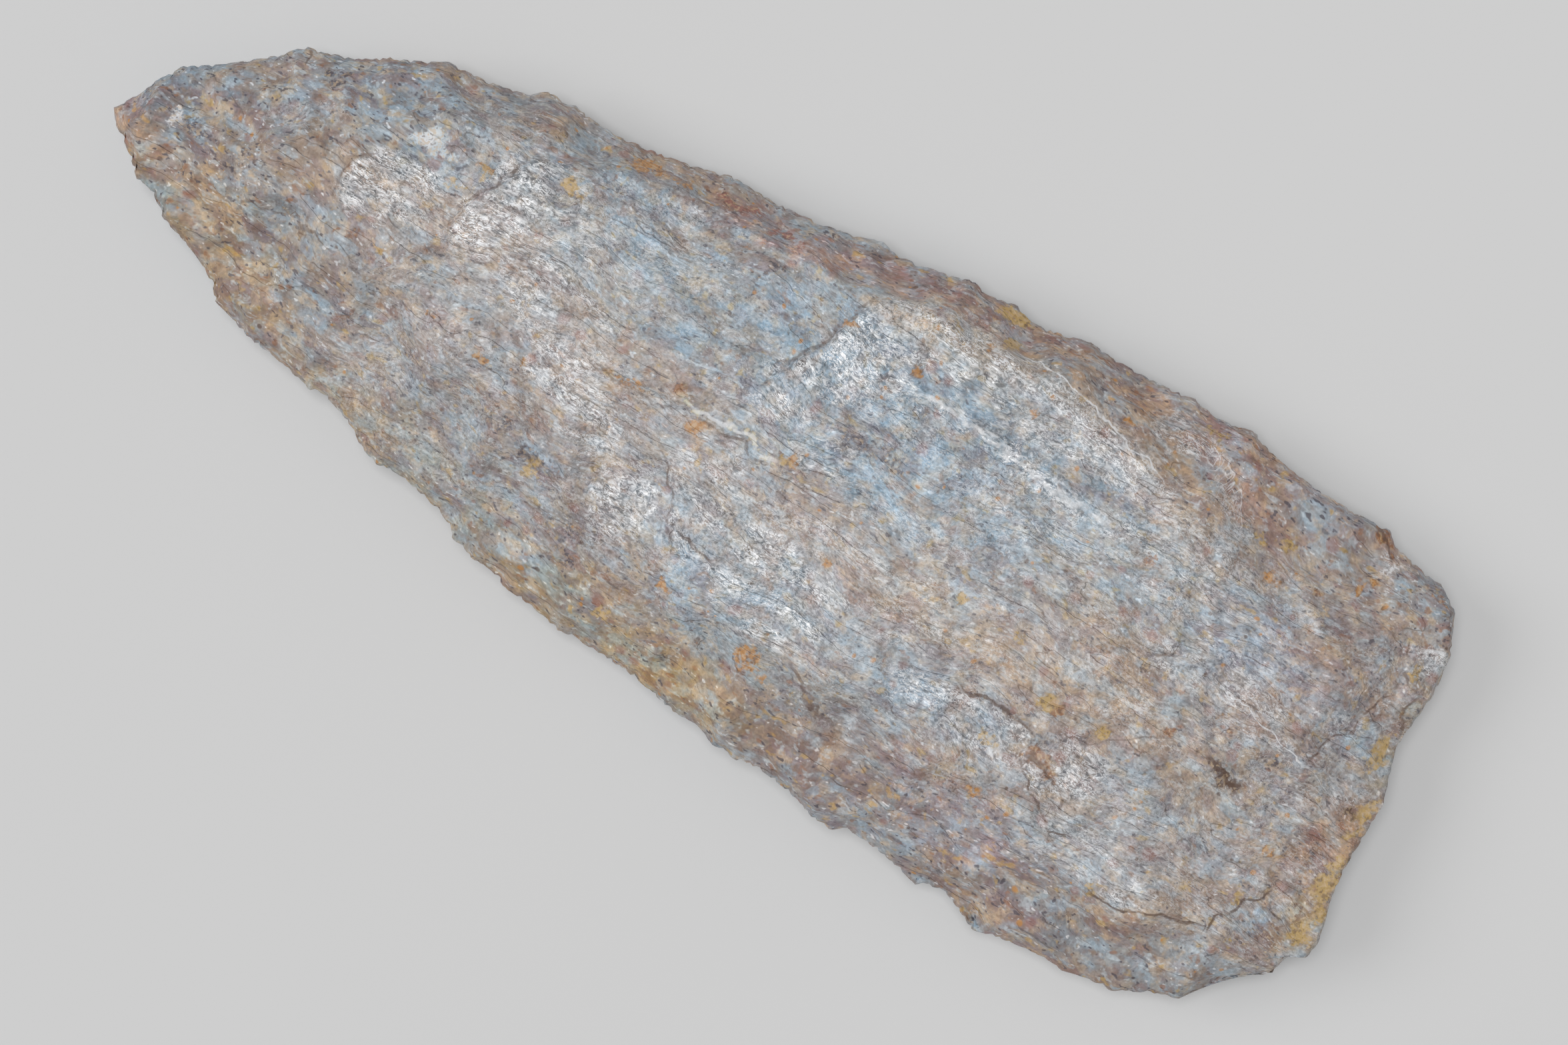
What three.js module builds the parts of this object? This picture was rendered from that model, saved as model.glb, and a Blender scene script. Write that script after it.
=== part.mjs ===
// A knapped stone knife blade: one solid of speckled stone that lies on its flatter face.
// The cutting edge runs round the tip and both sides, and the butt is a snapped, blunt end.
// Each face is a set of flake scars, which are shallow troughs that climb inwards from the edge.
// The lowest scar at each place is the surface, so the ridges stand where two scars meet.
// Millimetres, +Z up, +X from the tip to the butt, origin under the middle of the blade.

import * as THREE from "three";
import { mergeVertices } from "three/addons/utils/BufferGeometryUtils.js";

// Driving dimensions
const LENGTH = 91.2; // from the tip to the spur at the butt
const WIDTH = 35.8; // across the widest part, near the butt
const EDGE_LEVEL = 3.9; // height of the cutting edge above what the blade lies on
const TOP_RISE = 5.8; // crown of the upper face above the cutting edge
const EDGE_BLUNT = 0.3; // thickness left at the dulled cutting edge
const BUTT_THICK = 2.8; // height of the snapped face at the butt
const EDGE_WAVE = 0.35; // how far the cutting edge wanders up and down
const WAVE_PITCH = 30; // length of one such wave along the blade
const REST_SPOT = 0.25; // depth worn off the under face, which leaves the flat it lies on

// How the faces are flaked
const CROWN_DROP_ALONG = 1.9; // how much lower the crown is at the ends than in the middle
const CROWN_DROP_ACROSS = 2.0; // how much lower it is over the sides
const UNDER_DROP_ALONG = 1.3; // the same for the under face
const UNDER_DROP_ACROSS = 2.2;
const BLANK_SLOPE = 3.0; // steepest rise of the margin for each millimetre inwards
const TRIM_SLOPE = 1.25; // rise of the small trimming scars along the edge
const TRIM_LIP = 0.85; // height above the edge at which the large scars start
const TRIM_REACH = 1.7; // longest run of a trimming scar inwards
const TRIM_OVERLAP = 1.2; // width of a trimming scar, as a share of the gap that it fills
const EDGE_SAG = 0.03; // hollow of an edge scar along its run, as a share of the run
const EDGE_DISH = 0.075; // hollow of an edge scar across, as a share of its width
const INNER_SAG = 0.012; // the same for the flatter scars inside the upper face
const INNER_DISH = 0.04;
const SCALLOP = 0.035; // hollow of the outline between two crests, as a share of the gap
const RIDGE_WANDER = 0.3; // how far a ridge strays from a clean line
const FACE_GAP = 1.45; // longest step between two ribs of the mesh, and along a rib
const CREST_MERGE = 0.3; // share of that step within which two crests give one rib
const BUTT_BEND = 6; // how late the ribs bend to the butt's outline, as a power
const TIP_MERGE = 0.001; // points nearer than this are one point

// Crests of the outline, tip on the left: the points that stand out where two edge flakes meet.
// They are drawn to any size, and stretched to LENGTH and WIDTH.
const UPPER_CRESTS = [
  [-45.6, -2.1], [-44.2, 0.9], [-43.4, 2.3], [-37.4, 7.4], [-33.7, 8.75], [-32.7, 9.5],
  [-29.3, 11.2], [-24.2, 12.0], [-23.0, 12.9], [-21.0, 13.05], [-19.0, 12.8], [-10.5, 14.4],
  [-2.3, 15.15], [-0.4, 15.85], [0.6, 15.6], [3.4, 16.0], [5.8, 16.7], [7.3, 16.5],
  [8.9, 16.8], [10.3, 16.4], [13.9, 17.25], [21.8, 17.7], [22.8, 17.4], [24.4, 17.5],
  [25.6, 17.9], [28.2, 17.05], [36.3, 17.0], [36.9, 16.4], [40.6, 15.8],
];
const BUTT_CRESTS = [
  [42.4, -11.8], [44.15, -10.4], [44.35, -9.0], [45.5, -8.4], [45.6, -7.0], [44.85, -4.7],
  [44.55, -2.6], [44.55, 2.2], [43.4, 5.6], [43.7, 9.6], [43.4, 12.2], [42.2, 14.8], [40.6, 15.8],
];
const LOWER_CRESTS = [
  [-45.6, -2.1], [-45.0, -2.9], [-42.1, -5.1], [-41.1, -5.2], [-39.3, -6.5], [-37.4, -6.95],
  [-34.8, -8.2], [-34.0, -9.1], [-31.2, -10.0], [-26.1, -10.75], [-25.3, -10.5], [-22.4, -11.4],
  [-21.4, -12.1], [-20.1, -12.5], [-18.5, -12.3], [-13.9, -13.4], [-13.6, -14.0], [-11.8, -14.4],
  [-10.5, -14.4], [-9.2, -14.9], [-5.0, -15.45], [-3.1, -15.3], [4.1, -16.1], [5.5, -15.9],
  [6.9, -16.5], [8.7, -16.55], [10.3, -16.25], [14.8, -17.1], [16.1, -17.15], [16.8, -16.6],
  [22.4, -17.3], [24.1, -16.7], [26.9, -17.9], [31.9, -17.0], [33.0, -17.1], [36.3, -16.6],
  [40.1, -14.8], [42.4, -11.8],
];

// Scars of the upper face that were struck from an edge. The outline's crests set their scale:
// where on the edge along X (along Y at the butt), width, reach inwards,
// and the height they climb to as a share of TOP_RISE.
const LOWER_MARGIN = [
  [-42.5, 4.0, 3.5, 0.36], [-39.0, 4.5, 5.0, 0.52], [-34.5, 5.0, 6.5, 0.64],
  [-29.5, 5.5, 7.0, 0.72], [-24.5, 5.5, 7.5, 0.78], [-19.0, 6.0, 7.0, 0.79],
  [-13.0, 6.5, 7.2, 0.81], [-7.5, 5.0, 7.0, 0.83], [-2.0, 6.0, 6.2, 0.83],
  [3.5, 6.0, 6.2, 0.84], [9.0, 5.5, 7.0, 0.86], [15.0, 7.0, 8.5, 0.84], [21.5, 6.0, 8.0, 0.81],
  [27.5, 6.5, 6.2, 0.74], [33.5, 6.0, 5.2, 0.66], [39.0, 5.5, 5.0, 0.57],
];
const UPPER_MARGIN = [
  [-43.5, 3.5, 3.0, 0.35], [-40.0, 4.5, 4.5, 0.5], [-35.5, 5.0, 4.6, 0.59],
  [-30.5, 5.5, 3.6, 0.57], [-25.5, 5.0, 2.4, 0.53], [-20.5, 5.0, 1.3, 0.5],
  [-15.5, 6.0, 1.0, 0.52], [-9.5, 6.5, 1.0, 0.55], [-4.0, 5.5, 1.3, 0.62], [1.5, 6.0, 1.9, 0.74],
  [7.5, 6.5, 2.4, 0.81], [13.5, 7.0, 2.8, 0.83], [19.0, 6.0, 3.6, 0.81], [24.5, 6.5, 5.2, 0.79],
  [31.5, 8.0, 8.5, 0.78], [37.5, 6.5, 7.0, 0.66],
];
const BUTT_MARGIN = [
  [-9.6, 5.0, 5.0, 0.59], [-4.5, 9.0, 15.0, 0.83], [1.5, 6.0, 7.0, 0.72],
  [6.5, 5.0, 5.0, 0.66], [12.0, 6.0, 6.0, 0.59],
];
// Flatter scars inside the upper face: start x and y, end x and y, width,
// and the heights at the start and at the end as shares of TOP_RISE.
const INNER_SCARS = [
  [-29.8, 9.0, -28.0, 4.0, 7.5, 0.57, 0.78], [-23.5, 10.8, -22.5, 5.5, 6.0, 0.59, 0.81],
  [-17.8, 12.2, -16.8, 7.0, 7.0, 0.57, 0.81], [-11.2, 13.0, -10.2, 7.0, 7.0, 0.6, 0.83],
  [-4.8, 13.6, -4.2, 7.5, 6.5, 0.67, 0.84], [-31.2, 2.3, -23.5, 3.2, 5.5, 0.72, 0.75],
  [-23.2, 4.6, -11.5, 5.2, 7.0, 0.8, 0.86], [-17.0, -1.5, -3.0, -1.8, 6.5, 0.84, 0.91],
  [-8.5, -6.3, -1.5, -6.3, 5.0, 0.82, 0.86], [-1.5, -6.2, 10.5, -6.6, 6.5, 0.87, 0.88],
  [1.5, 11.6, 26.0, 11.2, 5.2, 0.87, 0.82], [-0.2, 7.3, 25.0, 6.9, 5.0, 0.9, 0.86],
  [-2.5, 2.8, 23.0, 2.6, 5.5, 0.91, 0.9], [0.0, -1.8, 24.0, -2.0, 5.5, 0.93, 0.88],
  [23.8, -6.6, 13.8, -6.4, 3.8, 0.78, 0.84], [24.5, -8.0, 34.0, -8.5, 6.5, 0.78, 0.71],
  [28.0, 4.0, 38.0, 3.5, 6.0, 0.83, 0.72], [37.0, -1.4, 30.5, -1.1, 3.0, 0.67, 0.79],
];

// The under face is plainer: broad scars at a steady pitch from both sides.
const UNDER_PITCH = 7.4; // gap between neighbouring scars of the under face
const UNDER_CLIMB = 4.1; // how far below the edge they reach
const UNDER_REACH = 0.3; // their run inwards, as a share of the blade's width there
const UNDER_SPREAD = 0.35; // how unevenly they are sized
const UNDER_STAGGER = 0.3; // how far one row lies behind the other, as a share of the pitch
const UNDER_BUTT_REACH = 12.0; // run of the wide scar from the butt

const drawn = new THREE.Box2().setFromPoints(
  [...UPPER_CRESTS, ...BUTT_CRESTS, ...LOWER_CRESTS].map(([x, y]) => new THREE.Vector2(x, y)),
);
const stretchX = LENGTH / (drawn.max.x - drawn.min.x);
const stretchY = WIDTH / (drawn.max.y - drawn.min.y);
const placed = (points) =>
  points.map(([x, y]) => new THREE.Vector2(x * stretchX, y * stretchY));

/** A share from 0 to 1 for each whole number, spread evenly, so that nothing is random. */
function spread(index) {
  const golden = (1 + Math.sqrt(5)) / 2;
  return (index * golden) % 1;
}

/** One side of the outline: runs between crests, each hollowed a little inwards. */
class Side {
  constructor(crests, inward, scallop) {
    this.crests = crests;
    this.inward = inward; // +1 where the stone lies left of the run, -1 where it lies right
    this.scallop = scallop;
    this.marks = [0];
    for (let i = 1; i < crests.length; i++)
      this.marks.push(this.marks[i - 1] + crests[i].distanceTo(crests[i - 1]));
    this.length = this.marks.at(-1);
  }

  /** The point at a share of the side's length. */
  at(share) {
    const distance = share * this.length;
    let i = 1;
    while (i < this.marks.length - 1 && this.marks[i] < distance) i++;
    const gap = this.marks[i] - this.marks[i - 1];
    const t = (distance - this.marks[i - 1]) / gap;
    const run = this.crests[i].clone().sub(this.crests[i - 1]);
    const hollow = this.inward * this.scallop * 4 * t * (1 - t);
    return this.crests[i - 1]
      .clone()
      .addScaledVector(run, t)
      .add(new THREE.Vector2(-run.y * hollow, run.x * hollow));
  }

  /** The point where the side passes a value of x or y, and the direction inwards there. */
  cross(axis, value) {
    let i = 1;
    while (i < this.crests.length - 1 && this.crests[i][axis] < value) i++;
    const before = this.crests[i - 1];
    const run = this.crests[i].clone().sub(before);
    const point = before.clone().addScaledVector(run, (value - before[axis]) / run[axis]);
    const inwards = new THREE.Vector2(-run.y, run.x).normalize().multiplyScalar(this.inward);
    return { point, inwards };
  }

  /** The shares of the length at which the crests stand. */
  shares() {
    return this.marks.map((mark) => mark / this.length);
  }
}

const lowerSide = new Side(placed(LOWER_CRESTS), 1, SCALLOP);
const upperSide = new Side(placed(UPPER_CRESTS), -1, SCALLOP);
const buttSide = new Side(placed(BUTT_CRESTS), 1, 0); // snapped straight, so not hollowed

/** Shares from 0 to 1 that hold the crests of the given sides, with no gap over FACE_GAP. */
function stations(sides) {
  const longest = Math.max(...sides.map((side) => side.length));
  const step = FACE_GAP / longest;
  const crests = sides.flatMap((side) => side.shares()).sort((a, b) => a - b);
  const kept = [0];
  for (const share of crests)
    if (Math.min(share - kept.at(-1), 1 - share) > CREST_MERGE * step) kept.push(share);
  kept.push(1);
  const result = [0];
  for (let i = 1; i < kept.length; i++) {
    const gap = kept[i] - kept[i - 1];
    const pieces = Math.ceil(gap / step);
    for (let k = 1; k <= pieces; k++) result.push(kept[i - 1] + (gap * k) / pieces);
  }
  return result;
}

/** A point of the plan: u runs from the tip to the butt, v from the lower side to the upper. */
function plan(u, v) {
  const rib = lowerSide.at(u).lerp(upperSide.at(u), v);
  const chord = lowerSide.at(1).lerp(upperSide.at(1), v);
  const towardsButt = u ** BUTT_BEND;
  return rib.addScaledVector(buttSide.at(v).sub(chord), towardsButt);
}

/** A scar from one point to another, which climbs from height low to height high. */
function scar(start, end, width, low, high, sag = EDGE_SAG, dish = EDGE_DISH) {
  const run = end.clone().sub(start);
  const reach = run.length();
  return { start, run, reach, halfWidth: width / 2, low, high, sag: sag * reach, dish: dish * width };
}

/** A scar struck inwards from a side, where that side passes a value of x or y. */
function edgeScar(side, axis, value, width, reach, low, high) {
  const { point, inwards } = side.cross(axis, value);
  return scar(point, point.clone().addScaledVector(inwards, reach), width, low, high);
}

/** The scars of one margin of the upper face, from their drawn places and sizes. */
function margin(side, axis, rows, low) {
  const [along, inwards] = axis === "x" ? [stretchX, stretchY] : [stretchY, stretchX];
  return rows.map(([value, width, reach, climb]) =>
    edgeScar(side, axis, value * along, width * along, reach * inwards, low, climb * TOP_RISE),
  );
}

/** The scar's height above the edge over a point of the plan. */
function scarHeight({ start, run, reach, halfWidth, low, high, sag, dish }, x, y) {
  const dx = x - start.x;
  const dy = y - start.y;
  const along = (dx * run.x + dy * run.y) / reach ** 2;
  const across = (dy * run.x - dx * run.y) / reach / halfWidth;
  return low + (high - low) * along + sag * ((2 * along - 1) ** 2 - 1) + dish * across ** 2;
}

/** Small trimming scars, one in each gap between two crests. */
function trimScars(side) {
  return side.crests.slice(1).map((crest, i) => {
    const run = crest.clone().sub(side.crests[i]);
    const middle = side.crests[i].clone().addScaledVector(run, 0.5);
    const inwards = new THREE.Vector2(-run.y, run.x).normalize().multiplyScalar(side.inward);
    const reach = Math.min(run.length(), TRIM_REACH);
    const high = EDGE_BLUNT / 2 + TRIM_SLOPE * reach;
    const end = middle.clone().addScaledVector(inwards, reach);
    return scar(middle, end, run.length() * TRIM_OVERLAP, EDGE_BLUNT / 2, high);
  });
}

/** Every scar of the upper face. */
function topScars() {
  const inner = INNER_SCARS.map(([x0, y0, x1, y1, width, low, high]) => {
    const [start, end] = placed([[x0, y0], [x1, y1]]);
    const heights = [low * TOP_RISE, high * TOP_RISE];
    return scar(start, end, width * stretchY, ...heights, INNER_SAG, INNER_DISH);
  });
  return [
    ...margin(lowerSide, "x", LOWER_MARGIN, TRIM_LIP),
    ...margin(upperSide, "x", UPPER_MARGIN, TRIM_LIP),
    ...margin(buttSide, "y", BUTT_MARGIN, BUTT_THICK / 2),
    ...inner,
    ...trimScars(lowerSide),
    ...trimScars(upperSide),
  ];
}

/** Every scar of the under face: trimming, a row along each side and one wide scar at the butt. */
function underScars() {
  const scars = [...trimScars(lowerSide), ...trimScars(upperSide)];
  const count = Math.floor(LENGTH / UNDER_PITCH) - 1;
  [lowerSide, upperSide].forEach((side, which) => {
    for (let i = 0; i < count; i++) {
      const uneven = 1 + UNDER_SPREAD * (spread(2 * i + which + 1) - 0.5);
      const x = (i + 0.5 + UNDER_STAGGER * which) * UNDER_PITCH - LENGTH / 2;
      const local = upperSide.cross("x", x).point.y - lowerSide.cross("x", x).point.y;
      const reach = UNDER_REACH * local * uneven;
      const climb = Math.min(UNDER_CLIMB, reach);
      scars.push(edgeScar(side, "x", x, UNDER_PITCH * uneven, reach, TRIM_LIP, climb));
    }
  });
  scars.push(edgeScar(buttSide, "y", 0, WIDTH / 2, UNDER_BUTT_REACH, BUTT_THICK / 2, UNDER_CLIMB));
  return scars;
}

/** A slow wander of the ridges, so that none runs like a ruled line. */
function wander(x, y) {
  return [
    RIDGE_WANDER * (Math.sin(0.55 * x + 1.3 * y) + 0.5 * Math.sin(1.9 * x - 1.1 * y + 1)),
    RIDGE_WANDER * (Math.sin(0.75 * x - 0.5 * y + 2) + 0.5 * Math.sin(1.3 * x + 1.7 * y)),
  ];
}

/** How far a point of the plan lies from the outline. */
function edgeDistance(point, outline) {
  let nearest = Infinity;
  for (let i = 0; i < outline.length; i++) {
    const a = outline[i];
    const run = outline[(i + 1) % outline.length].clone().sub(a);
    const toPoint = point.clone().sub(a);
    const t = THREE.MathUtils.clamp(toPoint.dot(run) / run.lengthSq(), 0, 1);
    nearest = Math.min(nearest, toPoint.addScaledVector(run, -t).length());
  }
  return nearest;
}

/** Height of a face above the edge: the lowest of its scars, its crown and its margin. */
function faceHeight({ scars, crown, along, across }, point, distance) {
  const fade = Math.min(1, distance / FACE_GAP);
  const [wx, wy] = wander(point.x, point.y);
  const x = point.x + wx * fade;
  const y = point.y + wy * fade;
  const margin = EDGE_BLUNT / 2 + BLANK_SLOPE * distance;
  const dome = crown - along * ((2 * x) / LENGTH) ** 2 - across * ((2 * y) / WIDTH) ** 2;
  return scars.reduce((low, one) => Math.min(low, scarHeight(one, x, y)), Math.min(margin, dome));
}

/** The level of the cutting edge, which wanders a little along each side and not at the middle. */
function edgeLevel(x, y) {
  const wave = Math.sin((2 * Math.PI * x) / WAVE_PITCH + Math.sign(y));
  return EDGE_LEVEL + EDGE_WAVE * wave * Math.min(1, (4 * Math.abs(y)) / (WIDTH / 2));
}

/** Half the thickness left at the outline: thin on the sides, thick at the butt. */
function rimHalf(u, v) {
  const onButt = u === 1 ? Math.sqrt(Math.sin(Math.PI * v)) : 0;
  return THREE.MathUtils.lerp(EDGE_BLUNT, BUTT_THICK, onButt) / 2;
}

/** The closed surface: an upper and an under sheet of ribs, joined by a band round the rim. */
function bladeGeometry() {
  const us = stations([lowerSide, upperSide]);
  const vs = stations([buttSide]);
  const outline = [
    ...us.map((u) => plan(u, 0)),
    ...vs.slice(1, -1).map((v) => plan(1, v)),
    ...us.map((u) => plan(u, 1)).reverse().slice(0, -1),
  ];
  const faces = [
    { up: 1, scars: topScars(), crown: TOP_RISE, along: CROWN_DROP_ALONG, across: CROWN_DROP_ACROSS },
    {
      up: -1,
      scars: underScars(),
      crown: EDGE_LEVEL + REST_SPOT,
      along: UNDER_DROP_ALONG,
      across: UNDER_DROP_ACROSS,
    },
  ];
  const positions = [];
  const sheets = faces.map((face) =>
    us.map((u, i) =>
      vs.map((v, j) => {
        const point = plan(u, v);
        const rim = i === 0 || i === us.length - 1 || j === 0 || j === vs.length - 1;
        const level = edgeLevel(point.x, point.y);
        const distance = rim ? 0 : edgeDistance(point, outline);
        const height = rim ? rimHalf(u, v) : faceHeight(face, point, distance);
        positions.push(point.x, point.y, Math.max(0, level + face.up * height));
        return positions.length / 3 - 1;
      }),
    ),
  );
  const index = [];
  const quad = (a, b, c, d) => index.push(a, b, c, a, c, d);
  const [top, under] = sheets;
  for (let i = 1; i < us.length; i++)
    for (let j = 1; j < vs.length; j++) {
      quad(top[i - 1][j - 1], top[i][j - 1], top[i][j], top[i - 1][j]);
      quad(under[i - 1][j - 1], under[i - 1][j], under[i][j], under[i][j - 1]);
    }
  const last = us.length - 1;
  const end = vs.length - 1;
  for (let i = 1; i <= last; i++) {
    quad(under[i - 1][0], under[i][0], top[i][0], top[i - 1][0]);
    quad(top[i - 1][end], top[i][end], under[i][end], under[i - 1][end]);
  }
  for (let j = 1; j <= end; j++)
    quad(under[last][j - 1], under[last][j], top[last][j], top[last][j - 1]);
  return closed(positions, index);
}

/** Geometry with the tip's coincident points merged and the faces that close up there dropped. */
function closed(positions, index) {
  const sheet = new THREE.BufferGeometry();
  sheet.setAttribute("position", new THREE.Float32BufferAttribute(positions, 3));
  sheet.setIndex(index);
  const geometry = mergeVertices(sheet, TIP_MERGE);
  const corners = Array.from(geometry.index.array);
  const kept = [];
  for (let i = 0; i < corners.length; i += 3) {
    const [a, b, c] = corners.slice(i, i + 3);
    if (a !== b && b !== c && a !== c) kept.push(a, b, c);
  }
  geometry.setIndex(kept);
  geometry.computeVertexNormals();
  return geometry;
}

const stone = new THREE.MeshStandardMaterial({
  name: "speckled_stone",
  color: new THREE.Color(0.62, 0.59, 0.57),
  roughness: 0.55,
  metalness: 0,
});

const blade = new THREE.Mesh(bladeGeometry(), stone);
blade.name = "blade";

const knife = new THREE.Group();
knife.add(blade);

export default knife;
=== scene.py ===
"""A flaked stone knife blade of speckled, partly glittering stone, lying on its flatter face.

The blade is one piece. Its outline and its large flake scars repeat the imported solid's, from the
same crests and scar rows, and a finer mesh adds what a hand can feel: steps where flakes broke off
short, ripples, streaks that run with the fracture, chips along the edge and the rough snapped butt.
Shapes are worked out in millimetres, as heights over the plan, and become metres in the mesh.
"""

from __future__ import annotations

import logging
import math
from dataclasses import dataclass
from enum import Enum

import bpy
import numpy as np
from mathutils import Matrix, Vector


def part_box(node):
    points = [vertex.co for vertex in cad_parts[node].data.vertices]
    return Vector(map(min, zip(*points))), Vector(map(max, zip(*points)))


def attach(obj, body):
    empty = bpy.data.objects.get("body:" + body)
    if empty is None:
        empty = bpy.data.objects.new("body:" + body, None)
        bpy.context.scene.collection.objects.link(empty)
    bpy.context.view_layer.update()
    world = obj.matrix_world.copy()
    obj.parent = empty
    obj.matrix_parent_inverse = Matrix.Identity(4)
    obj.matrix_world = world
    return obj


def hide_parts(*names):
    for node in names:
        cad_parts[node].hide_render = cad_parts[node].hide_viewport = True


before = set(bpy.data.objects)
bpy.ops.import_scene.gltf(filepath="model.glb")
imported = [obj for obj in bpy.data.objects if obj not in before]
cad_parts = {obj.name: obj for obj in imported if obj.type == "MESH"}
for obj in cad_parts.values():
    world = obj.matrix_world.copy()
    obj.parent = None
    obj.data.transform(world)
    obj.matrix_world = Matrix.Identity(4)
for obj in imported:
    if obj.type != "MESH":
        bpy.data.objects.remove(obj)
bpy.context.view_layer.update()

Array = np.ndarray
Row = tuple[float, ...]
Socket = bpy.types.NodeSocket

log = logging.getLogger("blade")

NODE = "blade"
SLOT = "speckled_stone"
BODY = "root"
MM = 0.001

# The turn of the blade in the picture, and the point of its frame at the picture's middle
PICTURE_TURN = math.radians(31.5)
PICTURE_MIDDLE = (3.59, -2.34)
PICTURE_WIDTH = 98.0


class Face(Enum):
    """The two faces of the blade, by the way that they look."""

    UPPER = 1
    UNDER = -1


# Crests of the outline: the points that stand out where two edge flakes meet
UPPER_CRESTS: tuple[Row, ...] = (
    (-45.6, -2.1), (-44.2, 0.9), (-43.4, 2.3), (-37.4, 7.4), (-33.7, 8.75), (-32.7, 9.5),
    (-29.3, 11.2), (-24.2, 12.0), (-23.0, 12.9), (-21.0, 13.05), (-19.0, 12.8), (-10.5, 14.4),
    (-2.3, 15.15), (-0.4, 15.85), (0.6, 15.6), (3.4, 16.0), (5.8, 16.7), (7.3, 16.5),
    (8.9, 16.8), (10.3, 16.4), (13.9, 17.25), (21.8, 17.7), (22.8, 17.4), (24.4, 17.5),
    (25.6, 17.9), (28.2, 17.05), (36.3, 17.0), (36.9, 16.4), (40.6, 15.8),
)
BUTT_CRESTS: tuple[Row, ...] = (
    (42.4, -11.8), (44.15, -10.4), (44.35, -9.0), (45.5, -8.4), (45.6, -7.0), (44.85, -4.7),
    (44.55, -2.6), (44.55, 2.2), (43.4, 5.6), (43.7, 9.6), (43.4, 12.2), (42.2, 14.8), (40.6, 15.8),
)
LOWER_CRESTS: tuple[Row, ...] = (
    (-45.6, -2.1), (-45.0, -2.9), (-42.1, -5.1), (-41.1, -5.2), (-39.3, -6.5), (-37.4, -6.95),
    (-34.8, -8.2), (-34.0, -9.1), (-31.2, -10.0), (-26.1, -10.75), (-25.3, -10.5), (-22.4, -11.4),
    (-21.4, -12.1), (-20.1, -12.5), (-18.5, -12.3), (-13.9, -13.4), (-13.6, -14.0), (-11.8, -14.4),
    (-10.5, -14.4), (-9.2, -14.9), (-5.0, -15.45), (-3.1, -15.3), (4.1, -16.1), (5.5, -15.9),
    (6.9, -16.5), (8.7, -16.55), (10.3, -16.25), (14.8, -17.1), (16.1, -17.15), (16.8, -16.6),
    (22.4, -17.3), (24.1, -16.7), (26.9, -17.9), (31.9, -17.0), (33.0, -17.1), (36.3, -16.6),
    (40.1, -14.8), (42.4, -11.8),
)

# Scars struck from an edge: place along the edge, width, reach inwards, climb as a share of the crown
LOWER_MARGIN: tuple[Row, ...] = (
    (-42.5, 4.0, 3.5, 0.36), (-39.0, 4.5, 5.0, 0.52), (-34.5, 5.0, 6.5, 0.64),
    (-29.5, 5.5, 7.0, 0.72), (-24.5, 5.5, 7.5, 0.78), (-19.0, 6.0, 7.0, 0.79),
    (-13.0, 6.5, 7.2, 0.81), (-7.5, 5.0, 7.0, 0.83), (-2.0, 6.0, 6.2, 0.83),
    (3.5, 6.0, 6.2, 0.84), (9.0, 5.5, 7.0, 0.86), (15.0, 7.0, 8.5, 0.84), (21.5, 6.0, 8.0, 0.81),
    (27.5, 6.5, 6.2, 0.74), (33.5, 6.0, 5.2, 0.66), (39.0, 5.5, 5.0, 0.57),
)
UPPER_MARGIN: tuple[Row, ...] = (
    (-43.5, 3.5, 3.0, 0.35), (-40.0, 4.5, 4.5, 0.5), (-35.5, 5.0, 4.6, 0.59),
    (-30.5, 5.5, 3.6, 0.57), (-25.5, 5.0, 2.4, 0.53), (-20.5, 5.0, 1.3, 0.5),
    (-15.5, 6.0, 1.0, 0.52), (-9.5, 6.5, 1.0, 0.55), (-4.0, 5.5, 1.3, 0.62), (1.5, 6.0, 1.9, 0.74),
    (7.5, 6.5, 2.4, 0.81), (13.5, 7.0, 2.8, 0.83), (19.0, 6.0, 3.6, 0.81), (24.5, 6.5, 5.2, 0.79),
    (31.5, 8.0, 8.5, 0.78), (37.5, 6.5, 7.0, 0.66),
)
BUTT_MARGIN: tuple[Row, ...] = (
    (-9.6, 5.0, 5.0, 0.59), (-4.5, 9.0, 15.0, 0.83), (1.5, 6.0, 7.0, 0.72),
    (6.5, 5.0, 5.0, 0.66), (12.0, 6.0, 6.0, 0.59),
)
# Flatter scars inside the upper face: start, end, width, and the two heights as shares of the crown
INNER_SCARS: tuple[Row, ...] = (
    (-29.8, 9.0, -28.0, 4.0, 7.5, 0.57, 0.78), (-23.5, 10.8, -22.5, 5.5, 6.0, 0.59, 0.81),
    (-17.8, 12.2, -16.8, 7.0, 7.0, 0.57, 0.81), (-11.2, 13.0, -10.2, 7.0, 7.0, 0.6, 0.83),
    (-4.8, 13.6, -4.2, 7.5, 6.5, 0.67, 0.84), (-31.2, 2.3, -23.5, 3.2, 5.5, 0.72, 0.75),
    (-23.2, 4.6, -11.5, 5.2, 7.0, 0.8, 0.86), (-17.0, -1.5, -3.0, -1.8, 6.5, 0.84, 0.91),
    (-8.5, -6.3, -1.5, -6.3, 5.0, 0.82, 0.86), (-1.5, -6.2, 10.5, -6.6, 6.5, 0.87, 0.88),
    (1.5, 11.6, 26.0, 11.2, 5.2, 0.87, 0.82), (-0.2, 7.3, 25.0, 6.9, 5.0, 0.9, 0.86),
    (-2.5, 2.8, 23.0, 2.6, 5.5, 0.91, 0.9), (0.0, -1.8, 24.0, -2.0, 5.5, 0.93, 0.88),
    (23.8, -6.6, 13.8, -6.4, 3.8, 0.78, 0.84), (24.5, -8.0, 34.0, -8.5, 6.5, 0.78, 0.71),
    (28.0, 4.0, 38.0, 3.5, 6.0, 0.83, 0.72), (37.0, -1.4, 30.5, -1.1, 3.0, 0.67, 0.79),
)


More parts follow.
